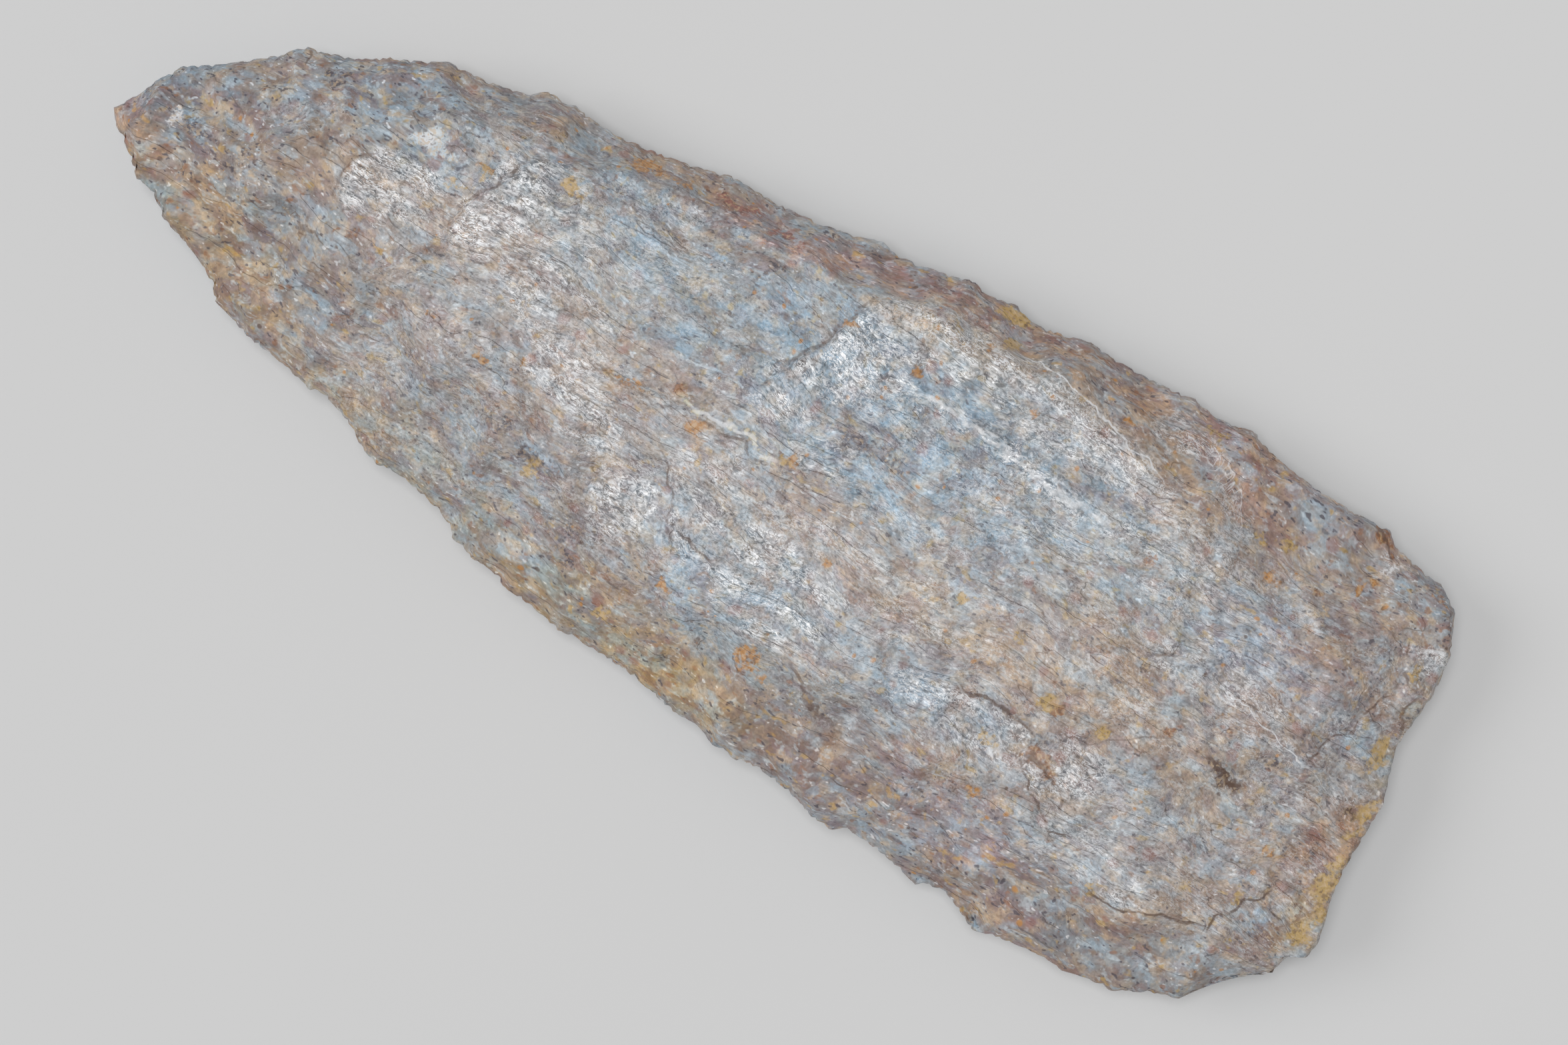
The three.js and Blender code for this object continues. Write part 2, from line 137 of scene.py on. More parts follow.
class Tone(Enum):
    """Colours of the stone, of the stains on it, and of painted shade and highlights, as 0 to 255 on a screen."""

    PINK = (165, 153, 147)
    MAUVE = (128, 107, 114)
    BLUE = (142, 161, 173)
    SLATE = (108, 112, 118)
    GREY = (139, 143, 147)
    TAN = (174, 150, 126)
    SAND = (150, 130, 98)
    EARTH = (136, 112, 94)
    CREAM = (212, 184, 148)
    MILK = (168, 192, 209)
    PALE = (202, 213, 220)
    WHITE = (240, 241, 243)
    BONE = (220, 214, 188)
    OCHRE = (192, 160, 98)
    ORANGE = (190, 134, 70)
    RUST = (150, 100, 62)
    BROWN = (120, 87, 66)
    UMBER = (92, 66, 50)
    RED = (156, 104, 92)
    DARK = (78, 72, 82)

    def linear(self) -> tuple[float, float, float]:
        """The colour as linear light, which is what shaders read."""
        return tuple(screen_to_linear(part / 255) for part in self.value)


def screen_to_linear(value: float) -> float:
    """Turns one part of a screen colour into linear light by the sRGB curve.

    Args:
        value: the part, from 0 to 1 as a screen shows it.

    Returns:
        The same part in linear light.
    """
    return value / 12.92 if value <= 0.04045 else ((value + 0.055) / 1.055) ** 2.4


def waves(x: Array, y: Array, size: float, seed: int, stretch: float = 1.0, count: int = 28) -> Array:
    """Smooth, endless roughness: the sum of plane waves with seeded headings and phases.

    Each wave is sin(kx x + ky y + phase), its length spread about the size, and x is divided by
    the stretch first, so that a stretch above 1 draws the pattern out along X.

    Args:
        x: places along X in millimetres.
        y: places along Y in millimetres.
        size: the usual wavelength in millimetres.
        seed: the seed of the headings, lengths and phases.
        stretch: how much longer the pattern is along X.
        count: the number of waves.

    Returns:
        Values with a mean of 0 and a spread of about 1, in the shape of x.
    """
    rng = np.random.default_rng(seed)
    heading = rng.uniform(0, math.tau, count)
    length = size * rng.uniform(0.6, 1.6, count)
    phase = rng.uniform(0, math.tau, count)
    total = np.zeros_like(x)
    for angle, wavelength, start in zip(heading, length, phase):
        along = x / stretch * math.cos(angle) + y * math.sin(angle)
        total += np.sin(math.tau * along / wavelength + start)
    return total * math.sqrt(2 / count)


def ramp(value: Array, low: float, high: float) -> Array:
    """A smooth step: 0 below low, 1 above high, and 3t^2 - 2t^3 between them."""
    t = np.clip((value - low) / (high - low), 0, 1)
    return t * t * (3 - 2 * t)


def soft_low(a: Array, b: Array, worn: float) -> Array:
    """The lower of two surfaces, with the ridge between them rounded over a height of worn."""
    near = np.maximum(worn - np.abs(a - b), 0) / worn
    return np.minimum(a, b) - near * near * worn / 4


@dataclass(frozen=True)
class Side:
    """One side of the outline: runs between crests, hollowed a little and nibbled by fine chips.

    Attributes:
        crests: the crests in order, in millimetres.
        inward: 1 where the stone lies left of the run, -1 where it lies right.
        scallop: hollow between two crests, as a share of the gap.
        nibble: depth of the fine chips in millimetres.
        seed: the seed of the chips.
    """

    crests: Array
    inward: int
    scallop: float
    nibble: float
    seed: int

    def marks(self) -> Array:
        """The distance along the side at which each crest stands."""
        runs = np.hypot(*np.diff(self.crests, axis=0).T)
        return np.concatenate([[0.0], np.cumsum(runs)])

    def at(self, share: Array) -> Array:
        """Points of the side: straight runs, pushed inwards by 4t(1 - t) and by the chips.

        Args:
            share: shares of the side's length, from 0 to 1.

        Returns:
            One row of x and y for each share.
        """
        marks = self.marks()
        gone = share * marks[-1]
        i = np.clip(np.searchsorted(marks, gone, side="right"), 1, len(marks) - 1)
        t = (gone - marks[i - 1]) / (marks[i] - marks[i - 1])
        run = self.crests[i] - self.crests[i - 1]
        inwards = np.stack([-run[:, 1], run[:, 0]], 1) * self.inward
        unit = inwards / np.hypot(*inwards.T)[:, None]
        rough = waves(gone, gone * 0, 0.9, self.seed) + 0.7 * waves(gone, gone * 0, 0.4, self.seed + 1)
        ends = np.minimum(1, np.minimum(gone, marks[-1] - gone))
        chips = self.nibble * np.clip(rough + 0.3, 0, 2.2) * ends
        hollow = self.scallop * 4 * t * (1 - t)
        return self.crests[i - 1] + run * t[:, None] + inwards * hollow[:, None] + unit * chips[:, None]

    def cross(self, axis: int, value: float) -> tuple[Array, Array]:
        """The point where the side passes a value of x (axis 0) or y (axis 1).

        Args:
            axis: the number of the axis.
            value: the value on it, in millimetres.

        Returns:
            The point, and the unit direction inwards there.
        """
        i = int(np.clip(np.argmax(self.crests[1:, axis] >= value) + 1, 1, len(self.crests) - 1))
        before = self.crests[i - 1]
        run = self.crests[i] - before
        point = before + run * (value - before[axis]) / run[axis]
        return point, np.array([-run[1], run[0]]) / np.hypot(*run) * self.inward


@dataclass(frozen=True)
class Scar:
    """A shallow trough left by one flake, from its start to its end.

    Attributes:
        start: where it was struck.
        end: where it runs out.
        width: its width in millimetres.
        low: height at the start.
        high: height at the end.
        sag: hollow along the run, as a share of the run.
        dish: hollow across, as a share of the width.
        ripple: height of the rings round the start, in millimetres.
    """

    start: Array
    end: Array
    width: float
    low: float
    high: float
    sag: float
    dish: float
    ripple: float = 0.0

    def height(self, x: Array, y: Array) -> Array:
        """The trough's height: a ramp along, a sag of (2t - 1)^2 - 1, a dish of q^2 and rings.

        Args:
            x: places along X.
            y: places along Y.

        Returns:
            Heights above the edge, in the shape of x.
        """
        run = self.end - self.start
        reach = float(np.hypot(*run))
        dx, dy = x - self.start[0], y - self.start[1]
        along = (dx * run[0] + dy * run[1]) / reach**2
        across = (dy * run[0] - dx * run[1]) / reach / (self.width / 2)
        sag = self.sag * reach * ((2 * along - 1) ** 2 - 1)
        rings = self.ripple * np.sin(np.hypot(dx, dy) * 4.6) * np.clip(along, 0, 1)
        return self.low + (self.high - self.low) * along + sag + self.dish * self.width * across**2 + rings


@dataclass(frozen=True)
class Trace:
    """A drawn line on the upper face, such as a crack or the step where a flake broke off short.

    Attributes:
        points: its corners in millimetres.
        width: the width that it shows, in millimetres.
        step: height by which the left of its run stands over the right, in millimetres.
        fade: distance over which the raised side sinks back, in millimetres.
        groove: depth of the cut along it, in millimetres.
        shine: glitter beside it, on the left where above 0 and on the right where below 0.
        show: how strongly it is drawn, from 0 to 1.
    """

    points: tuple[Row, ...]
    width: float = 0.12
    step: float = 0.0
    fade: float = 4.0
    groove: float = 0.0
    shine: float = 0.0
    show: float = 1.0

    def measure(self, x: Array, y: Array) -> tuple[Array, Array]:
        """Finds the nearest run of the line for each place.

        Args:
            x: places along X.
            y: places along Y.

        Returns:
            The distance, with + on the left of the run, and how squarely the place lies beside
            the line and not past its ends, from 1 to 0.
        """
        corners = np.array(self.points, float)
        lengths = np.hypot(*np.diff(corners, axis=0).T)
        best = np.full(x.shape, np.inf)
        signed, share = np.zeros(x.shape), np.zeros(x.shape)
        gone = 0.0
        for a, b, length in zip(corners[:-1], corners[1:], lengths):
            run = (b - a) / length
            dx, dy = x - a[0], y - a[1]
            t = np.clip(dx * run[0] + dy * run[1], 0, length)
            far = np.hypot(dx - run[0] * t, dy - run[1] * t)
            side = run[0] * dy - run[1] * dx
            closer = far < best
            signed = np.where(closer, np.where(side >= 0, far, -far), signed)
            share = np.where(closer, (gone + t) / lengths.sum(), share)
            best = np.minimum(best, far)
            gone += length
        return signed, ramp(share, 0.0, 0.12) * ramp(1 - share, 0.0, 0.12)

    def glitter(self, x: Array, y: Array) -> Array:
        """Glitter beside the line: a cut edge along it, then a fade with exp(-d / fade).

        Args:
            x: places along X.
            y: places along Y.

        Returns:
            The glitter of each place, 0 on the side without any.
        """
        signed, ends = self.measure(x, y)
        beside = signed * math.copysign(1, self.shine)
        return abs(self.shine) * ends * ramp(beside, -0.05, 0.3) * np.exp(-np.maximum(beside, 0) / self.fade)

    def relief(self, x: Array, y: Array) -> Array:
        """Height that the line adds: a step that fades with exp(-d / fade), less a narrow cut.

        Args:
            x: places along X.
            y: places along Y.

        Returns:
            The height to add at each place, in millimetres.
        """
        signed, ends = self.measure(x, y)
        rise = ramp(signed, -0.18, 0.18) * np.exp(-np.maximum(signed, 0) / self.fade)
        cut = np.exp(-((signed / 0.22) ** 2))
        return ends * (self.step * rise - self.groove * cut)


@dataclass(frozen=True)
class Spot:
    """A soft-edged oval on the upper face.

    Attributes:
        x: its middle along X.
        y: its middle along Y.
        long: half its length.
        wide: half its width.
        turn: the turn of its length from X in degrees.
        strength: how strong it is at the middle, from 0 to 1.
        tone: its colour, where it has one.
    """

    x: float
    y: float
    long: float
    wide: float
    turn: float = 0.0
    strength: float = 1.0
    tone: Tone = Tone.PINK

    def mask(self, x: Array, y: Array, hard: float) -> Array:
        """Strength over the plan: full inside, falling to 0 past the oval's line.

        Args:
            x: places along X.
            y: places along Y.
            hard: 0 for a bell shape, up to 1 for a cut edge.

        Returns:
            Values from 0 to strength, in the shape of x.
        """
        angle = math.radians(self.turn)
        dx, dy = x - self.x, y - self.y
        p = (dx * math.cos(angle) + dy * math.sin(angle)) / self.long
        q = (dy * math.cos(angle) - dx * math.sin(angle)) / self.wide
        far = np.hypot(p, q)
        return self.strength * (1 - ramp(far, 0.55 + 0.35 * hard, 1.45 - 0.35 * hard))


# Steps and seams of the upper face. The high side is on the left of the run.
STEPS: tuple[Trace, ...] = (
    Trace(((-28.7, -0.7), (-30.4, 0.3), (-30.8, 1.6), (-30.8, 3), (-29.8, 3.9), (-27.6, 4.8), (-25, 5.4)),
          step=-0.32, fade=4, shine=-1.7),
    Trace(((-22.4, 0.4), (-23.6, 2.1), (-23.3, 4.2), (-22.5, 5.6), (-21.7, 7.2), (-21.4, 8.8), (-19.6, 9.4),
          (-18.4, 8.8)), step=-0.38, fade=4, shine=-1.7),
    Trace(((-9.4, -5.2), (-10.4, -4.6), (-13.3, -3), (-15.8, -0.9), (-17, 0.6), (-16.6, 2.2)), step=-0.3,
          fade=5, shine=-0.9),
    Trace(((-2.6, 2.6), (-2.1, 3.9), (-1, 6.5), (0.3, 8.7), (0.6, 10.6), (1.8, 13), (3.2, 13.5), (6, 14)),
          step=-0.42, fade=4, shine=-1.6),
    Trace(((0.4, -4.8), (-1.3, -3), (-2.6, -1.2), (-0.8, 0.4)), step=-0.2, fade=3, shine=-0.7),
    Trace(((-5.9, -10.4), (-7.4, -8), (-7.9, -6.4), (-7.4, -5), (-6, -4.4)), step=-0.28, fade=4, shine=-0.9),
    Trace(((1.4, -6.7), (-1.3, -6.4), (-2.4, -5.6), (-2.9, -5), (-4.1, -3.2), (-5.5, -2.1)), step=-0.2,
          fade=3.5, groove=0.1, shine=-0.9),
    Trace(((14.5, -6.2), (16.4, -5.6), (17.8, -5.4), (19.9, -5.1), (22, -5), (23.5, -5.5), (23.9, -6.6)),
          step=0.38, fade=2.5, shine=-1),
    Trace(((23.4, 0.6), (25.8, 2.4), (28.6, 3.3)), step=0.22, fade=4),
    Trace(((30.4, 3.3), (32.1, 3.1), (34.5, 2.6), (36.6, 2.1), (38.7, 1.6), (42.4, 0.8)), step=-0.18, fade=4),
    Trace(((23, -6.3), (23.3, -7), (24.1, -7.8), (25.3, -8.5), (27.2, -9.9), (29.4, -9.7)), step=0.26, fade=3,
          groove=0.1, shine=1),
    Trace(((29.6, -11.3), (31.1, -11.9), (33.4, -12), (35, -11.4), (37, -10.6), (39, -9.9)), step=0.18, fade=3,
          groove=0.1),
    Trace(((39.1, -10.6), (39, -9.7), (39.4, -8.5), (40.7, -7), (41.6, -5.5)), step=0.14, fade=3, groove=0.1),
    Trace(((38.7, 1.2), (38.9, 1.9), (39.4, 4), (40.3, 4.8), (40.3, 6.2), (40.6, 7.2), (41.7, 8.8), (41, 10.6),
          (40.2, 12.2)), step=-0.2, fade=3, groove=0.1),
    Trace(((1, 8), (5.2, 8.4), (7.1, 8.9), (13.6, 8.4), (21.7, 8), (28.5, 6.8)), step=0.08, fade=0.7,
          shine=1.8),
    Trace(((4, 14.3), (9.8, 14.2), (13.7, 14.1), (18, 13.1), (22, 12.2), (25, 11.4), (28, 11.2)), step=-0.16,
          fade=2.5, shine=-0.9),
    Trace(((0, 5.6), (8, 5.9), (16, 5.7), (24, 5)), step=0, fade=0.8, shine=0.7),
    Trace(((-21, -4), (-14.7, -5.6), (-12.2, -6.9), (-9.5, -7.8), (-6.4, -8.3)), step=0.3, fade=3, groove=0.1),
    Trace(((-14, -0.6), (-9.7, -0.1), (-5.6, 0.5), (-2.4, 0.6), (-0.9, 0.7), (1.8, 0.1)), step=0.22, fade=1.6,
          groove=0.08),
    Trace(((-14, 10.6), (-10.6, 10.7), (-6.4, 10.9), (-2.6, 11.4), (0.6, 12)), step=-0.14, fade=2.5,
          groove=0.05),
)


@dataclass(frozen=True)
class BladeForm:
    """The blade's sizes in millimetres, and the sums that give its two faces.

    Attributes:
        length: length of the blade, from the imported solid.
        width: width of the blade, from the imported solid.
        edge_level: height of the cutting edge over the ground.
        top_rise: crown of the upper face over the edge.
        edge_blunt: thickness left at the cutting edge.
        butt_thick: height of the snapped butt.
        edge_wave: how far the cutting edge wanders up and down.
        wave_pitch: length of one such wave along the blade.
        rest_spot: depth worn off the under face, which leaves the flat that it lies on.
        crown_drop_along: how much lower the crown is at the ends than in the middle.
        crown_drop_across: how much lower it is over the sides.
        under_drop_along: the same along the under face.
        under_drop_across: the same across the under face.
        blank_slope: steepest rise of the margin for each millimetre inwards.
        trim_slope: rise of the small trimming scars along the edge.
        trim_lip: height above the edge at which the large scars start.
        trim_reach: longest run of a trimming scar inwards.
        trim_overlap: width of a trimming scar, as a share of the gap that it fills.
        edge_sag: hollow of an edge scar along its run, as a share of the run.
        edge_dish: hollow of an edge scar across, as a share of its width.
        inner_sag: the same along the flatter scars inside the upper face.
        inner_dish: the same across them.
        scallop: hollow of the outline between two crests, as a share of the gap.
        nibble: depth of the fine chips along the outline.
        ridge_wander: how far a ridge strays from a clean line.
        wander_fade: distance from the outline over which the straying sets in.
        butt_bend: how late the ribs bend to the butt's outline, as a power.
        under_pitch: gap between neighbouring scars of the under face.
        under_climb: how far below the edge they reach.
        under_reach: their run inwards, as a share of the blade's width there.
        under_spread: how unevenly they are sized.
        under_stagger: how far one row lies behind the other, as a share of the pitch.
        under_butt_reach: run of the wide scar from the butt.
        worn: height over which the ridges are rounded.
        grain: height of the stone's own grain.
        streak: height of the streaks that run with the blade.
        ripple: height of the rings in the larger scars.
    """

    length: float
    width: float
    edge_level: float = 3.9
    top_rise: float = 5.8
    edge_blunt: float = 0.3
    butt_thick: float = 2.8
    edge_wave: float = 0.35
    wave_pitch: float = 30.0
    rest_spot: float = 0.25
    crown_drop_along: float = 1.9
    crown_drop_across: float = 2.0
    under_drop_along: float = 1.3
    under_drop_across: float = 2.2
    blank_slope: float = 3.0
    trim_slope: float = 1.25
    trim_lip: float = 0.85
    trim_reach: float = 1.7
    trim_overlap: float = 1.2
    edge_sag: float = 0.03
    edge_dish: float = 0.075
    inner_sag: float = 0.012
    inner_dish: float = 0.04
    scallop: float = 0.035
    nibble: float = 0.075
    ridge_wander: float = 0.3
    wander_fade: float = 1.45
    butt_bend: int = 6
    under_pitch: float = 7.4
    under_climb: float = 4.1
    under_reach: float = 0.3
    under_spread: float = 0.35
    under_stagger: float = 0.3
    under_butt_reach: float = 12.0
    worn: float = 0.1
    grain: float = 0.012
    streak: float = 0.02
    ripple: float = 0.03

    def stretch(self) -> Array:
        """How far the drawn outline is stretched along X and Y to the blade's own size."""
        drawn = np.array(UPPER_CRESTS + BUTT_CRESTS + LOWER_CRESTS)
        return np.array([self.length, self.width]) / np.ptp(drawn, axis=0)

    def sides(self) -> tuple[Side, Side, Side]:
        """The sides of the outline, at the blade's own size.

        Returns:
            The lower side, the upper side and the butt.
        """
        k = self.stretch()
        return (
            Side(np.array(LOWER_CRESTS) * k, 1, self.scallop, self.nibble, 11),
            Side(np.array(UPPER_CRESTS) * k, -1, self.scallop, self.nibble, 21),
            Side(np.array(BUTT_CRESTS) * k, 1, 0.0, self.nibble * 0.6, 31),
        )

    def plan(self, us: Array, vs: Array) -> tuple[Array, Array]:
        """The plan: ribs from the lower side to the upper, bent to the butt's line near the butt.

        A point is lower(u)(1 - v) + upper(u) v + u^bend (butt(v) - the straight line there).

        Args:
            us: shares from the tip to the butt.
            vs: shares from the lower side to the upper.

        Returns:
            x and y, each with a row for each u and a column for each v.
        """
        lower, upper, butt = self.sides()
        v = vs[None, :, None]
        ribs = lower.at(us)[:, None] * (1 - v) + upper.at(us)[:, None] * v
        last = np.array([1.0])
        chord = lower.at(last)[:, None] * (1 - v) + upper.at(last)[:, None] * v
        ribs = ribs + (us**self.butt_bend)[:, None, None] * (butt.at(vs)[None] - chord)
        return ribs[..., 0], ribs[..., 1]

    def level(self, x: Array, y: Array) -> Array:
        """Height of the cutting edge: a slow wave along each side, none at the middle."""
        wave = np.sin(math.tau * x / self.wave_pitch + np.sign(y))
        return self.edge_level + self.edge_wave * wave * np.minimum(1, 8 * np.abs(y) / self.width)

    def edge_scar(self, side: Side, axis: int, value: float, width: float, reach: float,
                  low: float, high: float, ripple: float = 0.0) -> Scar:
        """A scar struck inwards from a side, where that side passes a value of x or y."""
        point, inwards = side.cross(axis, value)
        return Scar(point, point + inwards * reach, width, low, high, self.edge_sag, self.edge_dish, ripple)

    def trim_scars(self, side: Side) -> list[Scar]:
        """Small trimming scars, one in each gap between two crests of a side.

        Args:
            side: the side.

        Returns:
            Its trimming scars.
        """
        scars = []
        for a, b in zip(side.crests[:-1], side.crests[1:]):
            gap = float(np.hypot(*(b - a)))
            inwards = np.array([a[1] - b[1], b[0] - a[0]]) / gap * side.inward
            reach = min(gap, self.trim_reach)
            low = self.edge_blunt / 2
            middle = (a + b) / 2
            scars.append(Scar(middle, middle + inwards * reach, gap * self.trim_overlap, low,
                              low + self.trim_slope * reach, self.edge_sag, self.edge_dish))
        return scars

    def upper_scars(self) -> list[Scar]:
        """The trimming scars, those struck from the three sides, and the flatter ones inside.

        Returns:
            Every scar of the upper face.
        """
        lower, upper, butt = self.sides()
        kx, ky = self.stretch()
        rise = self.top_rise
        scars = self.trim_scars(lower) + self.trim_scars(upper)
        for side, axis, rows, low, along, inwards in (
            (lower, 0, LOWER_MARGIN, self.trim_lip, kx, ky),
            (upper, 0, UPPER_MARGIN, self.trim_lip, kx, ky),
            (butt, 1, BUTT_MARGIN, self.butt_thick / 2, ky, kx),
        ):
            scars += [
                self.edge_scar(side, axis, at * along, width * along, reach * inwards, low,
                               climb * rise, self.ripple)
                for at, width, reach, climb in rows
            ]
        for x0, y0, x1, y1, width, low, high in INNER_SCARS:
            scars.append(Scar(np.array([x0 * kx, y0 * ky]), np.array([x1 * kx, y1 * ky]), width * ky,
                              low * rise, high * rise, self.inner_sag, self.inner_dish))
        return scars

    def under_scars(self) -> list[Scar]:
        """The trimming scars, a row along each side, and a wide scar from the butt.

        Returns:
            Every scar of the under face.
        """
        lower, upper, butt = self.sides()
        scars = self.trim_scars(lower) + self.trim_scars(upper)
        golden = (1 + math.sqrt(5)) / 2
        for which, side in enumerate((lower, upper)):
            for i in range(int(self.length / self.under_pitch) - 1):
                uneven = 1 + self.under_spread * ((2 * i + which + 1) * golden % 1 - 0.5)
                x = (i + 0.5 + self.under_stagger * which) * self.under_pitch - self.length / 2
                local = upper.cross(0, x)[0][1] - lower.cross(0, x)[0][1]
                reach = self.under_reach * local * uneven
                scars.append(self.edge_scar(side, 0, x, self.under_pitch * uneven, reach, self.trim_lip,
                                            min(self.under_climb, reach), self.ripple))
        scars.append(self.edge_scar(butt, 1, 0.0, self.width / 2, self.under_butt_reach,
                                    self.butt_thick / 2, self.under_climb, self.ripple))
        return scars

    def wander(self, x: Array, y: Array) -> tuple[Array, Array]:
        """A slow shift of the plan in which the scars are laid, so that no ridge runs straight.

        Args:
            x: places along X.
            y: places along Y.

        Returns:
            The shift along X and along Y, each a sum of two slanting sines.
        """
        w = self.ridge_wander
        return (
            w * (np.sin(0.55 * x + 1.3 * y) + 0.5 * np.sin(1.9 * x - 1.1 * y + 1)),
            w * (np.sin(0.75 * x - 0.5 * y + 2) + 0.5 * np.sin(1.3 * x + 1.7 * y)),
        )

    def rim_half(self, v: Array) -> Array:
        """Half the thickness at the butt's outline: thick in the middle, thin at its corners."""
        bulge = np.sqrt(np.sin(math.pi * np.clip(v, 0, 1)))
        return (self.edge_blunt + (self.butt_thick - self.edge_blunt) * bulge) / 2

    def height(self, face: Face, x: Array, y: Array, far: Array, margin: Array) -> Array:
        """Height of a face over the edge: the lowest of its margin, its crown and its scars.

        Args:
            face: the face.
            x: places along X.
            y: places along Y.
            far: distance of each place from the outline.
            margin: the height that the rim allows there.

        Returns:
            Heights counted away from the edge's level.
        """
        upper = face is Face.UPPER
        scars = self.upper_scars() if upper else self.under_scars()
        crown = self.top_rise if upper else self.edge_level + self.rest_spot
        along = self.crown_drop_along if upper else self.under_drop_along
        across = self.crown_drop_across if upper else self.under_drop_across
        fade = np.minimum(1, far / self.wander_fade)
        wx, wy = self.wander(x, y)
        px, py = x + wx * fade, y + wy * fade
        dome = crown - along * (2 * px / self.length) ** 2 - across * (2 * py / self.width) ** 2
        surface = np.minimum(margin, dome)
        for scar in scars:
            surface = soft_low(surface, scar.height(px, py), self.worn)
        return np.minimum(surface, margin)


@dataclass(frozen=True)
class BladeMesh:
    """The blade as one closed mesh: two sheets on the same plan, joined by a band round the rim.

    Attributes:
        form: the blade's shape.
        ribs: number of stations from the tip to the butt.
        steps: number of stations from the lower side to the upper.
        band_rows: number of faces across the rim's band.
        snap_rough: roughness of the snapped butt, as a share of its height.
        edge_round: how far the dulled edge bulges, as a share of its thickness.
        crease: angle above which an edge is shaded sharp, in degrees.
    """

    form: BladeForm
    ribs: int = 428
    steps: int = 108
    band_rows: int = 6
    snap_rough: float = 0.06
    edge_round: float = 0.25
    crease: float = 48.0

    def rim(self, x: Array, y: Array, vs: Array) -> tuple[Array, Array, Array, Array]:
        """The outline as a ring: tip, lower side, butt, upper side and back.

        Args:
            x: the plan's x.
            y: the plan's y.
            vs: shares across the butt.

        Returns:
            x and y of the ring, half the thickness at each of its points, and the place of each
            point in the flattened plan.
        """
        ribs, steps = x.shape
        places = np.arange(ribs * steps).reshape(ribs, steps)
        ring = np.concatenate([places[:, 0], places[-1, 1:-1], places[::-1, -1][:-1]])
        half = np.full(len(ring), self.form.edge_blunt / 2)
        half[ribs:ribs + steps - 2] = self.form.rim_half(vs[1:-1])
        return x.ravel()[ring], y.ravel()[ring], half, ring

    def margins(self, x: Array, y: Array, rim: tuple[Array, Array, Array, Array]) -> tuple[Array, Array]:
        """Distance from the outline, and the lowest of the cones that stand on the rim's points.

        Args:
            x: the plan's x.
            y: the plan's y.
            rim: what rim() gives.

        Returns:
            The distance of each place, and half the rim there plus the steepest slope times it.
        """
        rx, ry, half, _ = rim
        far = np.full(x.shape, np.inf)
        margin = np.full(x.shape, np.inf)
        for i in range(x.shape[0]):
            d = np.hypot(x[i][:, None] - rx, y[i][:, None] - ry)
            far[i] = d.min(1)
            margin[i] = (half + self.form.blank_slope * d).min(1)
        return far, margin

    def relief(self, face: Face, x: Array, y: Array, far: Array) -> Array:
        """Fine relief of a face: steps, streaks that run with the blade, lumps and grain.

        Args:
            face: the face.
            x: places along X.
            y: places along Y.
            far: distance from the outline.

        Returns:
            Heights to add, which fade to nothing at the outline.
        """
        form = self.form
        seed = 100 if face is Face.UPPER else 200
        bend = x + 0.6 * waves(x, y, 9.0, seed), y + 0.5 * waves(x, y, 8.0, seed + 1)
        streaks = 0.8 * waves(*bend, 1.2, seed + 2, stretch=5.0) + 0.4 * waves(*bend, 0.6, seed + 3, stretch=4.0)
        streaks += 2.2 * waves(*bend, 3.2, seed + 7, stretch=6.0)
        lumps = waves(x, y, 2.6, seed + 4) * 0.05 + waves(x, y, 1.3, seed + 5) * 0.03
        grain = waves(x, y, 0.8, seed + 6) * form.grain
        total = streaks * form.streak * ramp(far, 2.0, 6.0) + lumps * ramp(far, 0.3, 2.0) + grain
        if face is Face.UPPER:
            for step in STEPS:
                total = total + step.relief(x, y)
        return total * ramp(far, 0.0, 0.7)

    def build(self) -> bpy.types.Object:
        """Works out both sheets and the band, and makes the object.

        Returns:
            The blade's object, in metres.
        """
        form = self.form
        us, vs = np.linspace(0, 1, self.ribs), np.linspace(0, 1, self.steps)
        x, y = form.plan(us, vs)
        rim = self.rim(x, y, vs)
        half, ring = rim[2:]
        far, margin = self.margins(x, y, rim)
        level = form.level(x, y)
        sheets = []
        for face in Face:
            h = form.height(face, x, y, far, margin) + self.relief(face, x, y, far)
            h.ravel()[ring] = half
            h[0] = half[0]  # the first rib is the tip, a single point
            sheets.append(np.maximum(level + face.value * h, 0))
        grid = np.stack([x, y], -1).reshape(-1, 2)
        upper, under = (np.column_stack([grid, z.ravel()]) for z in sheets)
        points = np.concatenate([upper, under, self.band(upper[ring], under[ring])])
        return self.to_object(points, self.faces(ring, len(grid)))

    def band(self, top: Array, under: Array) -> Array:
        """The rows of points between the two rims, pushed in or out by the fracture's roughness.

        Each row is top (1 - t) + under t, moved along the ring's outward normal.

        Args:
            top: the upper rim's points.
            under: the under rim's points.

        Returns:
            The points, row by row.
        """
        run = np.roll(top, -1, 0) - np.roll(top, 1, 0)
        normal = np.stack([run[:, 1], -run[:, 0]], 1)
        normal /= np.maximum(np.hypot(*normal.T), 1e-9)[:, None]
        tall = top[:, 2] - under[:, 2]
        rows = []
        for k in range(1, self.band_rows):
            t = k / self.band_rows
            at = top * (1 - t) + under * t
            rough = 0.5 * waves(at[:, 1], at[:, 2], 2.4, 51) + 0.35 * waves(at[:, 1], at[:, 2], 1.0, 52)
            bulge = self.snap_rough * tall * (rough - 0.4)
            bulge += self.edge_round * np.minimum(tall, self.form.edge_blunt)
            push = math.sin(math.pi * t) * bulge
            rows.append(np.column_stack([at[:, :2] + normal * push[:, None], at[:, 2]]))
        return np.concatenate(rows)

